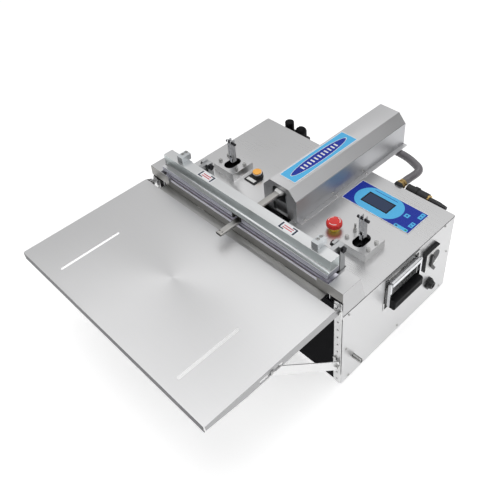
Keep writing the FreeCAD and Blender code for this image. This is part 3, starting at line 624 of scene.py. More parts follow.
NAVY: Rgb = (0.012, 0.035, 0.36)
SKY: Rgb = (0.10, 0.50, 0.86)
PAPER: Rgb = (0.84, 0.85, 0.87)
INK: Rgb = (0.02, 0.03, 0.06)
KEYPAD_PRINT = Printed("keypad_print", PAPER, (
    Patch((189.5, 254.5), (109.8, 45.4), NAVY),
    Pill((171.8, 254.5), (73.8, 45.2), SKY),
    Patch((170, 289), (38, 0.9), NAVY),
    Patch((258.5, 261.5), (7, 7), SKY), Patch((258.5, 261.5), (2.6, 3), NAVY),
    Patch((289, 240.5), (6, 10.5), SKY), Patch((289, 236), (2.6, 1.6), NAVY),
    Patch((289, 245.5), (2.6, 1.6), NAVY),
    Patch((289, 284), (6, 12.5), SKY), Patch((289, 279), (2.6, 1.6), NAVY),
    Patch((289, 289.5), (2.6, 1.6), NAVY),
    Pill((273, 214), (21.5, 5.6), SKY), Patch((258.5, 214), (3, 2.6), INK),
    Oval((288, 214), (3, 2.6), (0.02, 0.30, 0.04))))
DISPLAY_PRINT = Printed("display_glass", (0.006, 0.008, 0.014), (
    Patch((168.5, 254), (40, 18.5), (0.030, 0.050, 0.105)),), 0.12)
BADGE_PRINT = Printed("badge_print", PAPER, (
    Patch((0, 205), (26.8, 125.4), SKY), Oval((0, 205), (17.4, 112.5), PAPER),
    Oval((0, 205), (16, 110), NAVY), Bars((0, 205), (7.0, 74), PAPER, 13.5, 5.5)))
LABEL_PRINT = Printed("jaw_label_print", PAPER, tuple(
    Patch((x + dx, -77.0 + dy), half, ink) for x in (-137.5, 154.5) for dx, dy, half, ink in (
        (-22, 0, (2.4, 10), INK), (22, 0, (2.4, 10), INK), (-16, -8.6, (8, 1.7), INK),
        (16, 8.6, (8, 1.7), INK), (0, 3.2, (15, 1.3), (0.62, 0.05, 0.07)),
        (0, -3.2, (15, 1.3), (0.62, 0.05, 0.07)))))
SHEET_X = Brushed("stainless_grain_x", (0.72, 0.72, 0.725), Axis.X)
SHEET_Z = Brushed("stainless_grain_z", (0.70, 0.70, 0.705), Axis.Z)
# Painted light: the deck's zone paints what stands above its top, the pedestals, lighter than the
# deck.
SHEET_DECK = Brushed("stainless_deck", (0.76, 0.76, 0.765), Axis.X, 0.30, 0.06, 90.0, 0.55,
                     (PaintedLightZone(Axis.Z, 282.4, 304.4, (0.90, 0.90, 0.90)),))
# Painted shade: the table's zones paint a narrow strip at its right edge darker and its front edge
# near black.
SHEET_TABLE = Brushed("stainless_table", (0.79, 0.79, 0.795), Axis.X, 0.44, 0.06, 160.0, 0.55,
                      (PaintedLightZone(Axis.X, 349.2, 351.0, (0.38, 0.38, 0.385)),
                       PaintedLightZone(Axis.Y, -519.0, -517.2, (0.10, 0.10, 0.105))))
# Painted shade and reflection: the upper jaw's zones paint its front faces above and below the
# ledge darker, so only the top and the ledge keep the bright tone.
JAW_METAL = Brushed("jaw_extrusion", (0.86, 0.89, 0.91), Axis.X, 0.30, 0.03, 600.0, 1.5,
                    (PaintedLightZone(Axis.Z, 384.4, 413.2, (0.46, 0.50, 0.50)),
                     PaintedLightZone(Axis.Z, 355.0, 380.2, (0.50, 0.51, 0.57))))
# Painted shade: the lower jaw's zone paints everything below Z 341 mm darker, as the shade under
# the upper jaw.
JAW_LOW_METAL = Brushed("lower_jaw_extrusion", (0.80, 0.80, 0.90), Axis.X, 0.34, 0.05, 600.0, 1.5,
                        (PaintedLightZone(Axis.Z, 20.0, 341.0, (0.32, 0.315, 0.305)),))
GUIDE_METAL = Brushed("machined_aluminium", (0.62, 0.63, 0.64), Axis.Y, 0.35, 0.14, 30.0)
ZINC = Plated("zinc_plate", (0.66, 0.66, 0.65), 0.28)
CHROME = Plated("polished_plate", (0.86, 0.87, 0.89), 0.10)
BRASS = Plated("machined_brass", (0.66, 0.47, 0.20), 0.24)
BLACK_SHEET = Coated("black_powder_coat", (0.004, 0.004, 0.005), 0.6, 0.03)
BLACK_PLASTIC = Moulded("black_moulding", (0.014, 0.014, 0.015), 0.42)
BLACK_GRIP = Moulded("black_grip", (0.003, 0.003, 0.004), 0.55, 0.9, 0.00005, 0.15)
LEVER = TwoTone("isolator_lever_moulding", (0.012, 0.012, 0.013), 0.4, step=362.9)
RUBBER = Moulded("black_rubber", (0.016, 0.016, 0.016), 0.7)
SILICONE = Moulded("violet_silicone", (0.66, 0.65, 0.78), 0.5, 1.4)
YELLOW = Moulded("yellow_moulding", (0.90, 0.60, 0.05), 0.3, 1.5, 0.00002)
RED = Moulded("red_moulding", (0.72, 0.035, 0.03), 0.24, 1.5, 0.00002)
WHITE = Moulded("white_moulding", (0.80, 0.80, 0.79), 0.35, 1.5, 0.00002)
AMBER = Glowing("amber_cap", (0.90, 0.36, 0.02))
SIDE_SHEET = Brushed("stainless_side", (0.64, 0.64, 0.645), Axis.Y, 0.36, 0.06)
# Painted shade: the stainless hem is coloured near black for the shade under the table's front
# flange.
HEM_SHADE_SHEET = Brushed("table_hem_painted_shade", (0.10, 0.10, 0.105), Axis.X, 0.44, 0.05)
SHELF_SHEET = Brushed("shelf_sheet", (0.56, 0.56, 0.55), Axis.X, 0.45, 0.05)
# Painted shade: the shoulders' zones paint a narrow strip at their right edge and a strip along
# their front darker.
SHOULDER_SHEET = Brushed("stainless_shoulder", (0.70, 0.70, 0.705), Axis.X, 0.36, 0.05, 90.0, 0.55,
                         (PaintedLightZone(Axis.X, 349.2, 351.0, (0.50, 0.50, 0.505)),
                          PaintedLightZone(Axis.Y, -112.0, -108.9, (0.28, 0.275, 0.265))))
# Painted shade: the housing's zone paints its right flank, X 58.8 to 61 mm, darker.
HOUSING_SHEET = Brushed("stainless_housing", (0.78, 0.78, 0.79), Axis.Y, 0.46, 0.03, 140.0, 0.8,
                        (PaintedLightZone(Axis.X, 58.8, 61.0, (0.50, 0.505, 0.52)),))
STRIP_SHEET = Brushed("stainless_strip", (0.74, 0.74, 0.74), Axis.Z, 0.32, 0.08)
# Painted shade: the clamp plates' zone paints a band across them, Y -90 to -84 mm, darker.
CLAMP_METAL = Brushed("clamp_plate_metal", (0.74, 0.77, 0.79), Axis.X, 0.34, 0.05, 60.0, 0.8,
                      (PaintedLightZone(Axis.Y, -90.0, -84.0, (0.26, 0.27, 0.28)),))
NOZZLE_METAL = Brushed("nozzle_steel", (0.52, 0.51, 0.49), Axis.Y, 0.30, 0.12, 40.0)
DISH_METAL = Plated("polished_dish", (0.62, 0.62, 0.62), 0.16)
BLACK_STEEL = Plated("blackened_steel", (0.06, 0.06, 0.065), 0.35)
BOARD = Moulded("board_green", (0.03, 0.16, 0.07), 0.4)
CASTING = Coated("grey_casting", (0.18, 0.19, 0.20))
TAPE = Woven("release_weave", (0.36, 0.22, 0.11))
HOSE = Ribbed("hose_wall", (0.15, 0.14, 0.15))


# ---- mesh building ------------------------------------------------------------------------------
class Form:
    """A mesh while it is built, in metres in the frame."""

    def __init__(self) -> None:
        """Starts with nothing."""
        self.mesh = bmesh.new()

    def hull(self, rings: Sequence[Sequence[Vector]]) -> "Form":
        """Joins rings of points into a skin and caps its ends.

        Args:
            rings: loops of equally many points.

        Returns:
            The form itself.
        """
        made = [[self.mesh.verts.new(point) for point in ring] for ring in rings]
        count = len(made[0])
        for below, above in zip(made, made[1:]):
            for index in range(count):
                after = (index + 1) % count
                self.mesh.faces.new((below[index], below[after], above[after], above[index]))
        self.mesh.faces.new(list(reversed(made[0])))
        self.mesh.faces.new(made[-1])
        return self

    def block(self, low: Vector, high: Vector) -> "Form":
        """A box between two corners."""
        outline = [(low.x, low.y), (high.x, low.y), (high.x, high.y), (low.x, high.y)]
        return self.hull([[Vector((x, y, z)) for x, y in outline] for z in (low.z, high.z)])

    def plate(self, outline: Sequence[Sequence[float]], axis: Axis, start: float,
              end: float) -> "Form":
        """A flat outline swept along an axis.

        Args:
            outline: points in the plane across the axis.
            axis: the way of the sweep.
            start: where it starts along the axis.
            end: where it ends.

        Returns:
            The form itself.
        """
        return self.hull([[axis.place(level, *point) for point in outline]
                          for level in (start, end)])

    def turned(self, profile: Sequence[Sequence[float]], centre: Vector, axis: Axis,
               sides: int = 48) -> "Form":
        """A solid of revolution.

        Args:
            profile: radius and height pairs, from one end to the other.
            centre: the point on the axis where height is zero.
            axis: the axis of revolution.
            sides: flats round it.

        Returns:
            The form itself.
        """
        rings = []
        for radius, height in profile:
            angles = [math.tau * k / sides for k in range(sides)]
            rings.append([centre + axis.place(height, radius * math.cos(a), radius * math.sin(a))
                          for a in angles])
        return self.hull(rings)

    def finish(self, name: str) -> bpy.types.Mesh:
        """Merges doubles and turns faces outwards.

        Args:
            name: the mesh's name.

        Returns:
            The finished mesh.
        """
        bmesh.ops.remove_doubles(self.mesh, verts=self.mesh.verts, dist=1e-6)
        bmesh.ops.recalc_face_normals(self.mesh, faces=self.mesh.faces)
        made = bpy.data.meshes.new(name)
        self.mesh.to_mesh(made)
        self.mesh.free()
        return made


def rounded(low: Sequence[float], high: Sequence[float], radius: float,
            steps: int = 6) -> list[tuple[float, float]]:
    """Outline of a rectangle with round corners.

    Args:
        low: the rectangle's lowest corner.
        high: its highest corner.
        radius: the corners' radius.
        steps: how many stretches each corner has.

    Returns:
        The outline's points, anticlockwise.
    """
    outline = []
    corners = ((high[0], low[1], -90), (high[0], high[1], 0), (low[0], high[1], 90),
               (low[0], low[1], 180))
    for x, y, start in corners:
        cx = x - math.copysign(radius, x - (low[0] + high[0]) / 2)
        cy = y - math.copysign(radius, y - (low[1] + high[1]) / 2)
        for step in range(steps + 1):
            angle = math.radians(start + 90 * step / steps)
            outline.append((cx + radius * math.cos(angle), cy + radius * math.sin(angle)))
    return outline


# ---- geometry nodes -----------------------------------------------------------------------------
class Tree(Graph):
    """A geometry node group while it is built."""

    def __init__(self, name: str) -> None:
        """Starts a group with a geometry input and output.

        Args:
            name: the group's name.
        """
        super().__init__(bpy.data.node_groups.new(name, "GeometryNodeTree"))
        self.inputs: dict[str, str] = {}
        self.add_input("Geometry", "NodeSocketGeometry")
        self.tree.interface.new_socket("Geometry", in_out="OUTPUT",
                                        socket_type="NodeSocketGeometry")
        self.source = self.tree.nodes.new("NodeGroupInput")
        self.sink = self.tree.nodes.new("NodeGroupOutput")

    def add_input(self, name: str, kind: str) -> None:
        """Adds a named input and keeps its identifier."""
        made = self.tree.interface.new_socket(name, in_out="INPUT", socket_type=kind)
        self.inputs[name] = made.identifier

    def maths(self, operation: str, first: object, second: object = 0.0) -> bpy.types.NodeSocket:
        """Runs one Math node on two sockets or numbers."""
        made = self.node("ShaderNodeMath", {"operation": operation}, {0: first, 1: second})
        return made.outputs[0]

    def close(self, geometry: bpy.types.NodeSocket) -> None:
        """Ends the group: makes instances real and gives them the Finish input.

        Args:
            geometry: what the group has made.
        """
        real = self.node("GeometryNodeRealizeInstances", {}, {0: geometry})
        dressed = self.node("GeometryNodeSetMaterial", {}, {
            "Geometry": real.outputs[0], "Material": self.source.outputs["Finish"]})
        self.tree.links.new(dressed.outputs[0], self.sink.inputs[0])

    def run(self, piece: bpy.types.Object, values: dict[str, object]) -> bpy.types.Mesh:
        """Applies the group to a piece and gives the plain mesh.

        Args:
            piece: the object that the group starts from.
            values: the group's inputs by name.

        Returns:
            The resulting mesh, with real faces.
        """
        modifier = piece.modifiers.new(self.tree.name, "NODES")
        modifier.node_group = self.tree
        for name, value in values.items():
            modifier[self.inputs[name]] = value
        bpy.context.view_layer.update()
        graph = bpy.context.evaluated_depsgraph_get()
        made = bpy.data.meshes.new_from_object(piece.evaluated_get(graph))
        piece.modifiers.remove(modifier)
        return made


def scatter_tree() -> Tree:
    """Builds the group that puts a copy of a piece on every point, facing as the point says.

    Returns:
        The group.
    """
    tree = Tree("scatter_on_points")
    tree.add_input("Piece", "NodeSocketObject")
    tree.add_input("Finish", "NodeSocketMaterial")
    facing = tree.node("GeometryNodeInputNamedAttribute", {"data_type": "FLOAT_VECTOR"},
                       {"Name": "facing"})
    turn = tree.node("FunctionNodeAlignRotationToVector", {"axis": "Z"},
                     {"Vector": facing.outputs[0]})
    piece = tree.node("GeometryNodeObjectInfo", {}, {"Object": tree.source.outputs["Piece"]})
    spread = tree.node("GeometryNodeInstanceOnPoints", {}, {
        "Points": tree.source.outputs["Geometry"], "Instance": piece.outputs["Geometry"],
        "Rotation": turn.outputs[0]})
    tree.close(spread.outputs[0])
    return tree


def hose_tree() -> Tree:
    """Builds the group that sweeps a round section along a route, with rings proud of it.

    Returns:
        The group.
    """
    tree = Tree("ringed_hose")
    tree.add_input("Route", "NodeSocketObject")
    for name in ("Radius", "Pitch", "Rise"):
        tree.add_input(name, "NodeSocketFloat")
    tree.add_input("Finish", "NodeSocketMaterial")
    route = tree.node("GeometryNodeObjectInfo", {}, {"Object": tree.source.outputs["Route"]})
    dense = tree.node("GeometryNodeResampleCurve", {"mode": "LENGTH"}, {
        "Curve": route.outputs["Geometry"], "Length": RING_STEP})
    along = tree.node("GeometryNodeSplineParameter")
    turns = tree.maths("DIVIDE", along.outputs["Length"], tree.source.outputs["Pitch"])
    wave = tree.maths("SINE", tree.maths("MULTIPLY", turns, math.tau))
    rise = tree.maths("MULTIPLY", wave, tree.source.outputs["Rise"])
    radius = tree.maths("ADD", rise, tree.source.outputs["Radius"])
    circle = tree.node("GeometryNodeCurvePrimitiveCircle", {}, {"Resolution": 28, "Radius": 1.0})
    swept = tree.node("GeometryNodeCurveToMesh", {}, {
        "Curve": dense.outputs[0], "Profile Curve": circle.outputs[0], "Scale": radius,
        "Fill Caps": True})
    tree.close(swept.outputs[0])
    return tree


# ---- frame and workshop -------------------------------------------------------------------------
@dataclass
class Workshop:
    """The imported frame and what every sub-assembly needs to add pieces to it."""
    frame: dict
    slots: dict[str, str] = field(default_factory=dict)
    scatter: Tree | None = None

    def __post_init__(self) -> None:
        """Reads each node's material slot and builds the shared node group."""
        self.slots = {s["node"]: s["material_slot"] for s in self.frame["record"]["subparts"]}
        self.scatter = scatter_tree()

    def body(self, node: str) -> str:
        """The body that a node belongs to."""
        return self.frame["nodes"][node]["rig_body"]

    def add(self, name: str, mesh: bpy.types.Mesh, finish: Finish | None, node: str,
            stands_for: Iterable[str] = (), bevel: float = 0.0, angle: float = 30.0,
            slot: str = "") -> bpy.types.Object:
        """Makes a piece of a mesh and fixes it to the body of a node.

        Args:
            name: the piece's name.
            mesh: its mesh, in place.
            finish: its finish, or none where the mesh has its own.
            node: the node whose body it takes.
            stands_for: nodes that it replaces.
            bevel: width of the rounding of its edges, in metres.
            angle: edges sharper than this, in degrees, are rounded and shaded sharp.
            slot: another material slot of the record; not used.

        Returns:
            The piece.
        """
        piece = bpy.data.objects.new(name, mesh)
        bpy.context.scene.collection.objects.link(piece)
        if finish is not None:
            mesh.materials.clear()
            mesh.materials.append(finish.material())
        mesh.shade_smooth()
        mesh.set_sharp_from_angle(angle=math.radians(angle))
        if bevel > 0:
            edge = piece.modifiers.new("edges", "BEVEL")
            edge.width = bevel
            edge.segments = 2
            edge.limit_method = "ANGLE"
            edge.angle_limit = math.radians(angle)
            edge.harden_normals = True
        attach(piece, self.body(node))
        slot or self.slots[node]
        stands_for = list(stands_for)
        if stands_for:
            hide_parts(*stands_for)
        LOG.info("piece %s: %d faces", name, len(mesh.polygons))
        return piece

    def islands(self, node: str) -> list[tuple[Vector, Vector]]:
        """Finds the loose parts of a node.

        Args:
            node: the node's name.

        Returns:
            The lowest and highest corner of each part.
        """
        form = bmesh.new()
        form.from_mesh(self.frame["nodes"][node].data)
        bmesh.ops.remove_doubles(form, verts=form.verts, dist=WELD)
        seen: set[bmesh.types.BMVert] = set()
        found = []
        for start in form.verts:
            if start in seen:
                continue
            seen.add(start)
            queue = [start]
            for vert in queue:
                fresh = [e.other_vert(vert) for e in vert.link_edges]
                fresh = [v for v in fresh if v not in seen]
                seen.update(fresh)
                queue.extend(fresh)
            found.append(tuple(Vector(pick(v.co[i] for v in queue) for i in range(3))
                               for pick in (min, max)))
        form.free()
        return sorted(found, key=lambda corners: tuple(corners[0]))

    def merged(self, node: str) -> bpy.types.Mesh:
        """Copies a node's mesh and joins its triangles into whole faces.

        Args:
            node: the node's name.

        Returns:
            The copy.
        """
        form = bmesh.new()
        form.from_mesh(self.frame["nodes"][node].data)
        bmesh.ops.remove_doubles(form, verts=form.verts, dist=WELD)
        bmesh.ops.dissolve_limit(form, angle_limit=math.radians(FLAT), verts=form.verts,
                                 edges=form.edges)
        made = bpy.data.meshes.new(node + "_form")
        form.to_mesh(made)
        form.free()
        return made

    def soften(self, node: str, name: str, finish: Finish, bevel: float = 0.0005,
               angle: float = 30.0) -> bpy.types.Object:
        """Shows a node as a copy whose edges are rounded."""
        return self.add(name, self.merged(node), finish, node, [node], bevel, angle)

    def soften_all(self, rows: Iterable[tuple]) -> None:
        """Softens several nodes; a row is what soften takes."""
        for row in rows:
            self.soften(*row)

    def spread(self, name: str, template: bpy.types.Mesh, points: Sequence[Vector],
               facing: Sequence[Vector], finish: Finish, node: str,
               stands_for: Iterable[str] = ()) -> bpy.types.Object:
        """Puts copies of a template on points.

        Args:
            name: the piece's name.
            template: the mesh that is copied, standing on its own origin along +Z.
            points: where the copies stand.
            facing: the way each one points.
            finish: their finish.
            node: the node whose body they take.
            stands_for: nodes that they replace.

        Returns:
            One piece with all the copies.
        """
        field_mesh = bpy.data.meshes.new(name + "_points")
        field_mesh.from_pydata([tuple(p) for p in points], [], [])
        attribute = field_mesh.attributes.new("facing", "FLOAT_VECTOR", "POINT")
        attribute.data.foreach_set("vector", [c for v in facing for c in v])
        base = bpy.data.objects.new(name + "_base", field_mesh)
        sample = bpy.data.objects.new(name + "_sample", template)
        for helper in (base, sample):
            bpy.context.scene.collection.objects.link(helper)
        mesh = self.scatter.run(base, {"Piece": sample, "Finish": finish.material()})
        for helper in (base, sample):
            bpy.data.objects.remove(helper)
        return self.add(name, mesh, None, node, stands_for)


def round_ring(size: float, level: float, sides: int) -> list[Vector]:
    """Points evenly spaced on a circle round Z.

    Args:
        size: the circle's radius.
        level: its height.
        sides: how many points it has.

    Returns:
        The points, anticlockwise.
    """
    return [Vector((size * math.cos(math.tau * k / sides), size * math.sin(math.tau * k / sides),
                    level)) for k in range(sides)]


def hex_ring(flat: float, level: float, sides: int) -> list[Vector]:
    """Points on a hexagon round Z, at the same angles as a round ring's.

    Args:
        flat: distance from the middle to a side of the hexagon.
        level: its height.
        sides: how many points it has.

    Returns:
        The points, anticlockwise.
    """
    points = []
    for k in range(sides):
        angle = math.tau * k / sides
        reach = flat / math.cos(angle % (math.pi / 3) - math.pi / 6)
        points.append(Vector((reach * math.cos(angle), reach * math.sin(angle), level)))
    return points


def cap_screw(radius: float, height: float) -> bpy.types.Mesh:
    """Socket head with a chamfer and a hexagonal recess.

    Args:
        radius: the head's radius.
        height: its height.

    Returns:
        The head, standing on Z = 0.
    """
    form = Form()
    flat = 0.56 * radius * math.cos(math.pi / 6)
    form.hull([round_ring(radius, 0, HEAD_SIDES), round_ring(radius, 0.82 * height, HEAD_SIDES),
               round_ring(0.9 * radius, height, HEAD_SIDES), hex_ring(flat, height, HEAD_SIDES),
               hex_ring(flat, 0.45 * height, HEAD_SIDES)])
    return form.finish("cap_screw")


def hex_bolt(across: float, height: float, washer: float, stud: float = 0.0) -> bpy.types.Mesh:
    """Hexagonal head on a washer, with a chamfered crown and an optional stud end.

    Args:
        across: distance between two opposite sides of the head.
        height: the crown's height.
        washer: the washer's radius.
        stud: how high the stud's end stands, or 0 for none.

    Returns:
        The bolt, standing on Z = 0.
    """
    form = Form()
    thin = 0.9 * MM
    form.turned([(washer, 0), (washer, thin)], Vector(), Axis.Z, 28)
    corner = across / math.sqrt(3)
    levels = ((1.0, thin), (1.0, 0.86 * height), (0.86, height))
    form.hull([round_ring(corner * scale, level, 6) for scale, level in levels])
    if stud > height:
        form.turned([(0.3 * across, height - thin), (0.3 * across, stud - MM),
                     (0.2 * across, stud)], Vector(), Axis.Z, 16)
    return form.finish("hex_bolt")


def button_head(radius: float, height: float) -> bpy.types.Mesh:
    """Low domed head with a hexagonal recess.

    Args:
        radius: the head's radius.
        height: its height.

    Returns:
        The head, standing on Z = 0.
    """
    form = Form()
    dome = ((1.0, 0.0), (1.0, 0.18), (0.93, 0.5), (0.78, 0.78), (0.56, 0.95), (0.46, 1.0))
    rings = [round_ring(radius * reach, height * level, HEAD_SIDES) for reach, level in dome]
    rings += [hex_ring(0.38 * radius, height * level, HEAD_SIDES) for level in (0.98, 0.45)]
    form.hull(rings)
    return form.finish("button_head")


def turned_foot(radius: float, height: float) -> bpy.types.Mesh:
    """Rubber foot with a rolled edge and a hollow under it.

    Args:
        radius: the foot's radius.
        height: its height.

    Returns:
        The foot, standing on Z = 0.
    """
    form = Form()
    form.turned([(0.30 * radius, 0.35 * height), (0.36 * radius, 0.02 * height),
                 (0.90 * radius, 0.0), (0.98 * radius, 0.08 * height), (radius, 0.25 * height),
                 (0.88 * radius, 0.97 * height), (0.84 * radius, height)], Vector(), Axis.Z, 40)
    return form.finish("turned_foot")


@dataclass
class Assembly:
    """A group of pieces that are built and dressed together."""
    shop: Workshop

    def build(self) -> None:
        """Makes and dresses the pieces."""
        raise NotImplementedError


@dataclass
class Cabinet(Assembly):
    """Sheet-metal box: tray, sides, back, black front, deck, shoulders, feet and screws."""
    fold: float = 0.0008
    edge: float = 0.0004
    seam_below: float = 0.0016
    seam_above: float = 0.0009
    seam_sunk: float = 0.0014
    seam_proud: float = 0.0003
    seam_end: float = 0.0006
    screw_size: tuple[float, float] = (0.0035, 0.0023)
    foot_size: tuple[float, float] = (0.019, 0.010)

    def build(self) -> None:
        """Rounds the folds and sets the screws and feet."""
        for node, finish, width in (
                ("base_tray", SHEET_X, self.fold), ("right_side_panel", SIDE_SHEET, self.edge),
                ("left_side_panel", SIDE_SHEET, self.edge), ("rear_panel", SHEET_X, self.edge),
                ("front_panel", BLACK_SHEET, self.edge), ("top_deck", SHEET_DECK, self.edge),
                ("front_shoulders", SHOULDER_SHEET, self.edge)):
            self.shop.soften(node, node + "_sheet", finish, width)
        self.lay_seam_shade()
        self.set_screws()
        self.set_feet()

    def lay_seam_shade(self) -> None:
        """Black strip in the seam between the deck and each side panel: a dark piece that paints
        the shade of the seam's gap.
        """
        form = Form()
        for side, node in ((1.0, "right_side_panel"), (-1.0, "left_side_panel")):
            low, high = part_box(node)
            outer = side * max(abs(low.x), abs(high.x))
            edges = sorted((outer - side * self.seam_sunk, outer + side * self.seam_proud))
            form.block(Vector((edges[0], low.y + self.seam_end, high.z - self.seam_below)),
                       Vector((edges[1], high.y - self.seam_end, high.z + self.seam_above)))
        # Painted shade: a thin black rubber strip stands for the dark gap of the seam.
        self.shop.add("seam_trim", form.finish("seam_trim"), RUBBER, "right_side_panel",
                      bevel=0.0001, slot="foot_rubber")

    def set_screws(self) -> None:
        """Button-head screws where the frame has them, each facing out of its panel."""
        points = []
        facing = []
        for low, high in self.shop.islands("sheet_screws"):
            size = high - low
            thin = min(range(3), key=lambda axis: size[axis])
            centre = (low + high) / 2
            out = Vector((0, 0, 0))
            out[thin] = 1.0 if thin == 2 or centre[thin] > 0 else -1.0
            centre[thin] = low[thin] if out[thin] > 0 else high[thin]
            points.append(centre)
            facing.append(out)
        self.shop.spread("sheet_screw_heads", button_head(*self.screw_size), points, facing, ZINC,
                         "sheet_screws", ["sheet_screws"])

    def set_feet(self) -> None:
        """Four rubber feet."""
        points = [Vector(((low.x + high.x) / 2, (low.y + high.y) / 2, low.z))
                  for low, high in self.shop.islands("rubber_feet")]
        self.shop.spread("turned_feet", turned_foot(*self.foot_size), points,
                         [Axis.Z.unit] * len(points), RUBBER, "rubber_feet", ["rubber_feet"])


@dataclass
class Jaws(Assembly):
    """Lower and upper sealing jaws with bands, gasket, clamps, labels and lifting gear."""
    label_centres: tuple[float, ...] = (-0.1375, 0.1545)
    label_half: tuple[float, float] = (0.0265, 0.0125)
    label_y: float = -0.077
    film: float = 0.00018
    label_corner: float = 0.0012
    screw_size: tuple[float, float] = (0.0045, 0.0045)
    shelf_reach: float = 0.0262
    shelf_gap: float = 0.0006
    shelf_drop: float = 0.0330
    shelf_thick: float = 0.0015
    shelf_lip: float = 0.008

    def build(self) -> None:
        """Softens the bars and adds the labels and screws."""
        self.shop.soften_all((
            ("lower_jaw", "lower_jaw_bar", JAW_LOW_METAL, 0.0005),
            ("silicone_strip", "silicone_pad", SILICONE, 0.0006),
            ("upper_jaw", "upper_jaw_bar", JAW_METAL, 0.0007),
            ("nozzle_gasket", "nozzle_gasket_rubber", RUBBER, 0.0005),
            ("heater_bands", "heater_band_tape", TAPE, 0.00008),
            ("jaw_clamps", "jaw_clamp_plates", CLAMP_METAL, 0.0006),
            ("jaw_arms", "jaw_arm_brackets", GUIDE_METAL, 0.0006),
            ("lift_posts", "lift_post_forks", GUIDE_METAL, 0.0006),
            ("lift_pins", "lift_pin_bolts", BLACK_STEEL, 0.0005)))
        self.lay_shelf()
        screws = [Vector(((low.x + high.x) / 2, (low.y + high.y) / 2, low.z))
                  for low, high in self.shop.islands("clamp_screws")]
        self.shop.spread("clamp_cap_screws", cap_screw(*self.screw_size), screws,
                         [Axis.Z.unit] * len(screws), ZINC, "clamp_screws", ["clamp_screws"])
        self.lay_labels()

    def lay_shelf(self) -> None:
        """Narrow sheet that closes the gap between the lower jaw and the table."""
        low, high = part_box("lower_jaw")
        back, front = low.y - self.shelf_gap, low.y - self.shelf_reach
        half = high.x - self.shelf_gap
        top = high.z - self.shelf_drop
        form = Form()
        form.block(Vector((-half, front, top - self.shelf_thick)), Vector((half, back, top)))
        form.block(Vector((-half, front, top - self.shelf_lip)),
                   Vector((half, front + self.shelf_thick, top - 0.0001)))
        self.shop.add("jaw_shelf", form.finish("jaw_shelf"), SHELF_SHEET, "front_shoulders",
                      bevel=0.0003)

    def lay_labels(self) -> None:
        """Two thin plain labels on the top of the upper jaw."""
        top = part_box("upper_jaw")[1].z
        form = Form()
        for x in self.label_centres:
            low = (x - self.label_half[0], self.label_y - self.label_half[1])
            high = (x + self.label_half[0], self.label_y + self.label_half[1])
            form.plate(rounded(low, high, self.label_corner), Axis.Z, top + HAIR, top + self.film)
        self.shop.add("jaw_labels", form.finish("jaw_labels"), LABEL_PRINT, "upper_jaw",
                      slot="overlay_blue")


@dataclass
class LiftStations(Assembly):
    """The rods that draw the upper jaw down, their cylinders and the bolts on the pedestals."""
    head_across: float = 0.0100
    head_height: float = 0.0068
    washer: float = 0.0058
    stud: float = 0.0248

    def build(self) -> None:
        """Rods and cylinders keep their shape; the bolts are made anew."""
        self.shop.soften("piston_rods", "piston_rod_clevises", CHROME, 0.0005)
        self.shop.soften("lift_cylinders", "lift_cylinder_tubes", BLACK_STEEL, 0.0008)
        short = []
        tall = []
        for low, high in self.shop.islands("pedestal_bolts"):
            place = Vector(((low.x + high.x) / 2, (low.y + high.y) / 2, low.z))
            (tall if high.z - low.z > 2 * self.head_height else short).append(place)
        up = Axis.Z.unit
        self.shop.spread("pedestal_hex_bolts",
                         hex_bolt(self.head_across, self.head_height, self.washer), short,
                         [up] * len(short), ZINC, "pedestal_bolts", ["pedestal_bolts"])
        self.shop.spread("pedestal_studs",
                         hex_bolt(self.head_across, self.head_height, self.washer, self.stud),
                         tall, [up] * len(tall), ZINC, "pedestal_bolts")


@dataclass
class NozzleUnit(Assembly):
    """Suction nozzle with its slide, the long bevelled housing and its badge."""
    collar: tuple[tuple[float, float, float], ...] = (
        (-0.009, 0.0103, 0.0043), (-0.002, 0.0128, 0.0072), (0.008, 0.0128, 0.0072))
    collar_roundness: float = 0.7
    badge_corner: float = 0.002

    def build(self) -> None:
        """Softens the parts and prints the badge."""
        self.shop.soften_all((
            ("suction_nozzle", "suction_nozzle_tube", NOZZLE_METAL, 0.0003),
            ("nozzle_carriage", "nozzle_carriage_block", WHITE, 0.0010),
            ("nozzle_drive", "nozzle_drive_unit", GUIDE_METAL, 0.0006),
            ("suction_manifold", "suction_manifold_block", CASTING, 0.0012),
            ("nozzle_housing", "nozzle_housing_shell", HOUSING_SHEET, 0.0006, 20.0)))
        self.fit_collar()
        self.lay_badge()

    def fit_collar(self) -> None:
        """White bevelled collar where the tube enters the housing."""
        low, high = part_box("suction_nozzle")
        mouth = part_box("nozzle_housing")[0].y
        middle_z = (low.z + high.z) / 2
        form = Form()
        rings = []
        for y, half_x, half_z in self.collar:
            outline = rounded((-half_x, middle_z - half_z), (half_x, middle_z + half_z),
                              self.collar_roundness * half_z)
            rings.append([Vector((x, mouth + y, z)) for x, z in outline])
        form.hull(rings)
        self.shop.add("nozzle_collar", form.finish("nozzle_collar"), WHITE, "suction_nozzle",
                      bevel=0.0003)

    def lay_badge(self) -> None:
        """Thin badge with round corners."""
        low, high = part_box("housing_badge")
        form = Form()
        form.plate(rounded(low.xy, high.xy, self.badge_corner), Axis.Z, low.z, high.z)
        self.shop.add("housing_badge_film", form.finish("housing_badge_film"), BADGE_PRINT,
                      "housing_badge", ["housing_badge"])


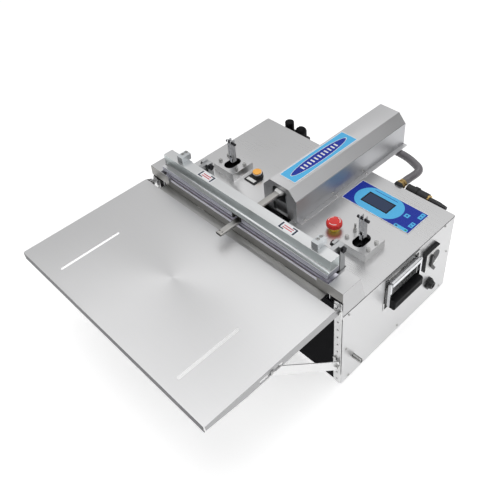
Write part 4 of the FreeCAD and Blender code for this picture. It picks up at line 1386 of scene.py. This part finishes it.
@dataclass
class DeckControls(Assembly):
    """Emergency stop, lit push button, keypad and the board under it."""
    head_height: float = 0.0145
    head_recess: float = 0.0065
    recess_radius: float = 0.0160
    stem_radius: float = 0.0095
    foot_rim: tuple[float, float] = (0.0012, 0.0016)
    crown: tuple[tuple[float, float], ...] = (
        (0.0, 0.0062), (0.0010, 0.0034), (0.0034, 0.0010), (0.0056, 0.0001), (0.0072, 0.0004),
        (0.0090, 0.0013))
    dish: tuple[tuple[float, float], ...] = ((0.0060, 0.0016), (0.0020, 0.0016))
    arc_count: int = 3
    arc_steps: int = 10
    arc_start: float = 0.25
    arc_span: float = 1.35
    arc_insets: tuple[float, float] = (0.0052, 0.0070)
    arc_deep: float = 0.0020
    legend_side: float = 0.0050
    legend_y: tuple[float, float] = (0.0035, 0.0150)
    legend_z: tuple[float, float] = (-0.0004, 0.0002)
    bezel_deep: float = 0.00995
    bezel: tuple[tuple[float, float], ...] = (
        (0.0165, 0.0016), (0.0159, 0.0003), (0.0152, 0.0), (0.0146, 0.0), (0.0142, 0.0004))
    bezel_outer: float = 0.0165
    bezel_bore: float = 0.0102
    bezel_well: float = 0.0142
    bezel_floor: float = 0.0060
    lens_deep: float = 0.0040
    skirt: tuple[tuple[float, float], ...] = ((0.0099, 0.0070), (0.0132, 0.0070), (0.0138, 0.0064))
    skirt_stem: float = 0.0099
    skirt_top: tuple[float, float] = (0.0138, 0.0100)
    lens: tuple[tuple[float, float], ...] = (
        (0.0131, 0.0016), (0.0124, 0.0006), (0.0105, 0.0001), (0.0050, 0.0), (0.0010, 0.0))
    lens_foot: float = 0.0129
    key_corner: float = 0.0012
    pill_corner: float = 0.0048
    key_z: tuple[float, float] = (-0.0001, 0.0003)
    largest_key: float = 30.0
    chips: tuple[tuple[float, float, float, float, float], ...] = (
        (0.012, 0.014, 0.030, 0.014, 0.004), (0.052, 0.050, 0.022, 0.022, 0.003),
        (0.105, 0.016, 0.034, 0.020, 0.009), (0.150, 0.050, 0.018, 0.018, 0.006))
    can_count: int = 4
    can_first: tuple[float, float] = (0.09, 0.07)
    can_pitch: float = 0.012
    can: tuple[tuple[float, float], ...] = ((0.0040, 0.0120), (0.0045, 0.0115), (0.0045, 0.0001))

    def build(self) -> None:
        """Builds the stop, the button and the keypad."""
        self.turn_stop_head()
        self.shop.soften("stop_base", "stop_base_collar", YELLOW, 0.0010)
        self.shop.soften("button_plate", "button_plate_moulding", BLACK_PLASTIC, 0.0005)
        self.shop.soften("control_board", "control_board_plate", BOARD, 0.0004)
        self.lay_legend()
        self.turn_button()
        self.lay_keypad()
        self.fit_board_parts()

    def turn_stop_head(self) -> None:
        """Mushroom head with a dished crown and three raised turning arcs."""
        low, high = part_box("stop_head")
        centre = Vector(((low.x + high.x) / 2, (low.y + high.y) / 2, 0))
        r = (high.x - low.x) / 2
        top = high.z
        base = top - self.head_height
        roof = base + self.head_recess
        form = Form()
        form.turned([(self.stem_radius, low.z), (self.stem_radius, roof),
                     (self.recess_radius, roof), (self.recess_radius, base),
                     (r - self.foot_rim[0], base), (r, base + self.foot_rim[1]),
                     *((r - inset, top - drop) for inset, drop in self.crown),
                     *((reach, top - drop) for reach, drop in self.dish)], centre, Axis.Z, 64)
        self.shop.add("stop_mushroom", form.finish("stop_mushroom"), RED, "stop_head",
                      ["stop_head"])
        arcs = Form()
        for k in range(self.arc_count):
            start = math.tau * k / self.arc_count + self.arc_start
            angles = [start + self.arc_span * s / self.arc_steps
                      for s in range(self.arc_steps + 1)]
            outline = [(centre.x + (r - inset) * math.cos(a), centre.y + (r - inset) * math.sin(a))
                       for inset, way in zip(self.arc_insets, (angles, reversed(angles)))
                       for a in way]
            arcs.plate(outline, Axis.Z, top - self.arc_deep, top)
        self.shop.add("stop_arcs", arcs.finish("stop_arcs"), WHITE, "stop_head", bevel=0.0002)

    def lay_legend(self) -> None:
        """White legend plate at the front of the button plate, left blank."""
        low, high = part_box("button_plate")
        form = Form()
        front, back = (low.y + y for y in self.legend_y)
        form.plate(rounded((low.x + self.legend_side, front), (high.x - self.legend_side, back),
                           MM), Axis.Z, *(high.z + z for z in self.legend_z))
        self.shop.add("button_legend", form.finish("button_legend"), WHITE, "button_plate",
                      bevel=0.0001)

    def turn_button(self) -> None:
        """Bezel with a well, and a domed cap in a pale skirt."""
        low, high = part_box("button_bezel")
        centre = Vector(((low.x + high.x) / 2, (low.y + high.y) / 2, 0))
        seat = high.z - self.bezel_deep
        floor = seat + self.bezel_floor
        form = Form()
        form.turned([(self.bezel_bore, seat), (self.bezel_outer, seat),
                     *((radius, high.z - drop) for radius, drop in self.bezel),
                     (self.bezel_well, floor), (self.bezel_bore, floor),
                     (self.bezel_bore, seat)], centre, Axis.Z, 56)
        self.shop.add("button_bezel_ring", form.finish("button_bezel_ring"), BLACK_PLASTIC,
                      "button_bezel", ["button_bezel"])
        low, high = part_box("button_cap")
        top = high.z
        rim = top - self.lens_deep
        skirt = Form()
        skirt.turned([(self.skirt_stem, low.z),
                      *((radius, top - drop) for radius, drop in self.skirt),
                      *((radius, rim) for radius in self.skirt_top)], centre, Axis.Z, 48)
        self.shop.add("button_skirt", skirt.finish("button_skirt"), WHITE, "button_cap",
                      ["button_cap"])
        cap = Form()
        cap.turned([(self.lens_foot, rim - 0.1 * MM),
                    *((radius, top - drop) for radius, drop in self.lens)], centre, Axis.Z, 48)
        self.shop.add("button_lens", cap.finish("button_lens"), AMBER, "button_cap",
                      ["button_cap"])

    def lay_keypad(self) -> None:
        """Printed membrane with raised keys, and the display window in it."""
        self.shop.soften("keypad_overlay", "keypad_membrane", KEYPAD_PRINT, 0.0002)
        self.shop.soften("display_window", "display_glass_pane", DISPLAY_PRINT, 0.0002)
        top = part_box("keypad_overlay")[1].z
        form = Form()
        for patch in KEYPAD_PRINT.shapes:
            if patch.ink != SKY or patch.half[0] >= self.largest_key:
                continue
            low = [MM * (c - h) for c, h in zip(patch.centre, patch.half)]
            high = [MM * (c + h) for c, h in zip(patch.centre, patch.half)]
            corner = self.pill_corner if isinstance(patch, Pill) else self.key_corner
            form.plate(rounded(low, high, corner), Axis.Z, *(top + z for z in self.key_z))
        self.shop.add("keypad_keys", form.finish("keypad_keys"), KEYPAD_PRINT, "keypad_overlay",
                      bevel=0.0001)

    def fit_board_parts(self) -> None:
        """Chips and capacitors under the board."""
        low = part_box("control_board")[0]
        form = Form()
        for x, y, wide, deep, tall in self.chips:
            corner = (low.x + x, low.y + y)
            form.plate(rounded(corner, (corner[0] + wide, corner[1] + deep), 0.8 * MM),
                       Axis.Z, low.z - tall, low.z - 5 * HAIR)
        for k in range(self.can_count):
            foot = Vector((low.x + self.can_first[0] + self.can_pitch * k,
                           low.y + self.can_first[1], 0))
            form.turned([(radius, low.z - drop) for radius, drop in self.can], foot, Axis.Z, 16)
        self.shop.add("board_chips", form.finish("board_chips"), BLACK_PLASTIC, "control_board",
                      bevel=0.0003, slot="black_plastic")


@dataclass
class SideFittings(Assembly):
    """Rotary isolator, cable gland, air inlet and the recessed bail handles."""
    rib_count: int = 9
    rib_half: tuple[float, float] = (0.0110, 0.0011)
    rib_z: tuple[float, float] = (-0.001, 0.0003)
    face_margin: float = 0.0025
    face_x: tuple[float, float] = (-0.0001, 0.0005)

    def build(self) -> None:
        """Softens the mouldings and sets raised ribs on the grips."""
        self.shop.soften_all((
            ("switch_body", "isolator_body", BLACK_PLASTIC, 0.0008),
            ("switch_lever", "isolator_lever", LEVER, 0.0010),
            ("cable_gland", "cable_gland_nut", BLACK_PLASTIC, 0.0006),
            ("air_inlet", "air_inlet_tube", ZINC, 0.0005),
            ("handle_plates", "handle_dishes", DISH_METAL, 0.0006),
            ("handle_brackets", "handle_bracket_bars", CHROME, 0.0008)))
        self.lay_dial()
        for side in ("right", "left"):
            self.shop.soften_all((
                (side + "_handle_bail", side + "_bail_wire", CHROME, 0.0012),
                (side + "_handle_grip", side + "_grip_moulding", BLACK_GRIP, 0.0015, 40.0)))
            self.rib_grip(side)

    def lay_dial(self) -> None:
        """Pale face on the isolator."""
        low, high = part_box("switch_body")
        form = Form()
        margin = self.face_margin
        form.plate(rounded((low.y + margin, low.z + margin), (high.y - margin, high.z - margin),
                           3 * MM), Axis.X, *(high.x + x for x in self.face_x))
        self.shop.add("isolator_face", form.finish("isolator_face"), WHITE, "switch_body",
                      bevel=0.0001, slot="plated_steel")

    def rib_grip(self, side: str) -> None:
        """Shallow finger ribs along the outer face of a grip.

        Args:
            side: which handle, right or left.
        """
        low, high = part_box(side + "_handle_grip")
        out = high.x if side == "right" else low.x
        sign = 1.0 if side == "right" else -1.0
        span = high.y - low.y
        template = Form()
        wide, thin = self.rib_half
        template.plate(rounded((-wide, -thin), (wide, thin), MM), Axis.Z, *self.rib_z)
        mesh = template.finish(side + "_rib")
        mesh.transform(Matrix.Rotation(math.pi / 2, 4, "Z"))
        points = [Vector((out, low.y + span * (k + 1) / (self.rib_count + 1),
                          (low.z + high.z) / 2)) for k in range(self.rib_count)]
        self.shop.spread(side + "_grip_ribs", mesh, points,
                         [Vector((sign, 0, 0))] * len(points), BLACK_GRIP,
                         side + "_handle_grip")


@dataclass
class WorkTable(Assembly):
    """Folding work table, perforated strips, hinge tabs, pins and telescopic arms."""
    hem_top: float = 0.0136
    hem_deep: float = 0.0080
    hem_side: float = 0.0032
    hem_back: float = 0.0001
    hem_thick: float = 0.0016

    def build(self) -> None:
        """Softens the sheet parts."""
        self.shop.soften_all((
            ("work_table", "work_table_tray", SHEET_TABLE, 0.0007),
            ("perforated_strips", "perforated_strip_rails", STRIP_SHEET, 0.0003),
            ("hinge_tabs", "hinge_tab_ears", SHEET_Z, 0.0005),
            ("hinge_pins", "hinge_pin_bolts", ZINC, 0.0005),
            ("support_arms", "support_arm_bars", STRIP_SHEET, 0.0004)))
        self.hem_front()

    def hem_front(self) -> None:
        """Folded hem that hangs below the table's front flange, coloured near black as painted
        shade.
        """
        low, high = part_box("work_table")
        top = high.z - self.hem_top
        form = Form()
        form.block(Vector((low.x + self.hem_side, low.y + self.hem_back, top - self.hem_deep)),
                   Vector((high.x - self.hem_side, low.y + self.hem_back + self.hem_thick, top)))
        self.shop.add("table_hem", form.finish("table_hem"), HEM_SHADE_SHEET, "work_table",
                      bevel=0.0003)


@dataclass
class AirLine(Assembly):
    """Regulators with their knobs, the vacuum hose, its fittings and the filter."""
    radius: float = 0.0115
    rise: float = 0.0004
    pitch: float = 0.0042
    route: tuple[tuple[float, float, float], ...] = (
        (0.0282, 0.4905, 0.265), (0.060, 0.4905, 0.265), (0.096, 0.4890, 0.266),
        (0.146, 0.4570, 0.282), (0.184, 0.4300, 0.296), (0.168, 0.4060, 0.278),
        (0.165, 0.3920, 0.276), (0.165, 0.3752, 0.276))

    def build(self) -> None:
        """Softens the hard parts and sweeps the hose."""
        self.shop.soften_all((
            ("regulator_bodies", "regulator_housings", BLACK_PLASTIC, 0.0015),
            ("left_regulator_knob", "left_fluted_knob", BLACK_GRIP, 0.0006, 25.0),
            ("right_regulator_knob", "right_fluted_knob", BLACK_GRIP, 0.0006, 25.0),
            ("brass_fittings", "brass_hex_fittings", BRASS, 0.0008),
            ("vacuum_filter", "vacuum_filter_can", BLACK_PLASTIC, 0.0008)))
        self.sweep_hose()

    def sweep_hose(self) -> None:
        """Hose from the manifold elbow up and round to the brass fitting."""
        curve = bpy.data.curves.new("hose_route", "CURVE")
        curve.dimensions = "3D"
        curve.resolution_u = 24
        line = curve.splines.new("NURBS")
        line.points.add(len(self.route) - 1)
        for point, place in zip(line.points, self.route):
            point.co = (*place, 1.0)
        line.use_endpoint_u = True
        line.order_u = 4
        path = bpy.data.objects.new("hose_route", curve)
        carrier = bpy.data.objects.new("hose_carrier", bpy.data.meshes.new("hose_carrier"))
        for helper in (path, carrier):
            bpy.context.scene.collection.objects.link(helper)
        mesh = hose_tree().run(carrier, {"Route": path, "Radius": self.radius, "Rise": self.rise,
                                         "Pitch": self.pitch, "Finish": HOSE.material()})
        for helper in (path, carrier):
            bpy.data.objects.remove(helper)
        self.shop.add("vacuum_hose_wall", mesh, None, "vacuum_hose", ["vacuum_hose"], angle=60.0)


@dataclass
class Internals(Assembly):
    """Pump, transformer and valves inside the cabinet."""
    fin_count: int = 9
    fin_first: float = 0.016
    fin_pitch: float = 0.0075
    fin_centre: float = 0.070
    fin: tuple[tuple[float, float], ...] = (
        (0.0565, 0.0), (0.0600, 0.0002), (0.0600, 0.0018), (0.0565, 0.0020))

    def build(self) -> None:
        """Softens the castings and adds the pump's fins."""
        self.shop.soften_all((
            ("vacuum_pump", "vacuum_pump_casting", CASTING, 0.0015),
            ("heating_transformer", "transformer_core", CASTING, 0.0010),
            ("solenoid_valves", "solenoid_valve_bank", BLACK_PLASTIC, 0.0010)))
        low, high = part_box("vacuum_pump")
        form = Form()
        centre = Vector((0, (low.y + high.y) / 2, low.z + self.fin_centre))
        for k in range(self.fin_count):
            x = low.x + self.fin_first + self.fin_pitch * k
            form.turned([(radius, x + step) for radius, step in self.fin], centre, Axis.X, 40)
        self.shop.add("pump_fins", form.finish("pump_fins"), CASTING, "vacuum_pump")


@dataclass
class Studio:
    """Camera, pale floor, sky and soft lights."""
    location: tuple[float, float, float] = (0.93053, -0.82691, 1.44677)
    azimuth: float = 47.44
    elevation: float = 42.02
    roll: float = -4.05
    lens: float = 46.11
    shift: tuple[float, float] = (-0.05, -0.08)
    floor_half: float = 30.0
    sky_rise: float = 1.76
    sky_sink: float = 0.42
    sky_least: float = 0.42
    sky_front: float = 0.22
    panel_way: tuple[float, float, float] = (0.58, 0.68, 0.45)
    panel_edge: tuple[float, float] = (0.83, 0.96)
    panel_depth: float = 0.68
    sky_turn: tuple[float, float] = (-0.30, 0.20)
    floor_glow: float = 0.55
    lights: tuple[tuple, ...] = (
        ("key", (0.3, -0.5, 3.0), (0.0, 0.0, 0.25), 1.6, 24.0),
        ("fill", (2.6, 0.4, 1.6), (0.2, 0.0, 0.2), 1.6, 10.0),
        ("front", (-1.6, -2.4, 2.0), (0.0, -0.2, 0.2), 1.6, 10.0))

    def build(self) -> None:
        """Sets the scene round the object."""
        self.place_camera()
        self.lay_floor()
        self.hang_lights()
        self.paint_sky()
        bpy.context.scene.view_settings.view_transform = "Standard"

    def place_camera(self) -> None:
        """Camera at the viewing angle."""
        a, e, r = (math.radians(v) for v in (self.azimuth, self.elevation, self.roll))
        back = Vector((math.sin(a) * math.cos(e), -math.cos(a) * math.cos(e), math.sin(e)))
        right = Vector((math.cos(a), math.sin(a), 0))
        up = back.cross(right)
        side = right * math.cos(r) + up * math.sin(r)
        top = up * math.cos(r) - right * math.sin(r)
        data = bpy.data.cameras.new("view")
        data.lens = self.lens
        data.sensor_width = 36.0
        data.shift_x, data.shift_y = self.shift
        camera = bpy.data.objects.new("view", data)
        turn = Matrix((side, top, back)).transposed().to_4x4()
        camera.matrix_world = Matrix.Translation(self.location) @ turn
        bpy.context.scene.collection.objects.link(camera)
        bpy.context.scene.camera = camera

    def lay_floor(self) -> None:
        """Wide pale floor that glows a little, so that shadows stay faint."""
        form = Form()
        h = self.floor_half
        form.block(Vector((-h, -h, -0.02)), Vector((h, h, -0.0002)))
        floor = bpy.data.objects.new("pale_floor", form.finish("pale_floor"))
        shade = Shade("pale_floor")
        clouds = shade.noise((4000, 4000, 4000), 1.0)
        shade.set(Base_Color=shade.mix(clouds, (0.80, 0.80, 0.80), (0.82, 0.82, 0.82)),
                  Roughness=0.9, Emission_Color=(1, 1, 1), Emission_Strength=self.floor_glow)
        floor.data.materials.append(shade.material)
        bpy.context.scene.collection.objects.link(floor)

    def hang_lights(self) -> None:
        """Large soft boxes."""
        for name, place, aim, size, power in self.lights:
            data = bpy.data.lights.new(name, "AREA")
            data.size = size
            data.energy = power
            lamp = bpy.data.objects.new(name, data)
            lamp.location = place
            way = Vector(place) - Vector(aim)
            lamp.rotation_euler = way.to_track_quat("Z", "Y").to_euler()
            bpy.context.scene.collection.objects.link(lamp)

    def paint_sky(self) -> None:
        """Sky that grows towards its top, dims to the front and has one dark panel."""
        world = bpy.data.worlds.new("studio_sky")
        bpy.context.scene.world = world
        world.use_nodes = True
        graph = Graph(world.node_tree)
        ground = world.node_tree.nodes["Background"]
        way = graph.node("ShaderNodeTexCoord").outputs["Generated"]
        parts = graph.node("ShaderNodeSeparateXYZ", {}, {0: way})
        x, y, z = (Val(graph, output) for output in parts.outputs)
        height = (z * self.sky_rise - self.sky_sink).math("MAXIMUM", self.sky_least)
        front = y.ramp(*self.sky_turn) * (1.0 - self.sky_front) + self.sky_front
        px, py, pz = self.panel_way
        panel = (x * px + y * py + z * pz).ramp(*self.panel_edge)
        light = height * front * (1.0 - panel * self.panel_depth)
        grey = graph.node("ShaderNodeCombineColor", {}, {0: light, 1: light, 2: light})
        graph.feed(ground.inputs[0], grey.outputs[0])


def main() -> None:
    """Builds the studio and each sub-assembly in order."""
    logging.basicConfig(level=logging.INFO, format="%(message)s")
    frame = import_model()
    shop = Workshop(frame)
    Studio().build()
    for group in (Cabinet, Jaws, LiftStations, NozzleUnit, DeckControls, SideFittings, WorkTable,
                  AirLine, Internals):
        LOG.info("building %s", group.__name__)
        group(shop).build()


if __name__ == "__main__":
    main()
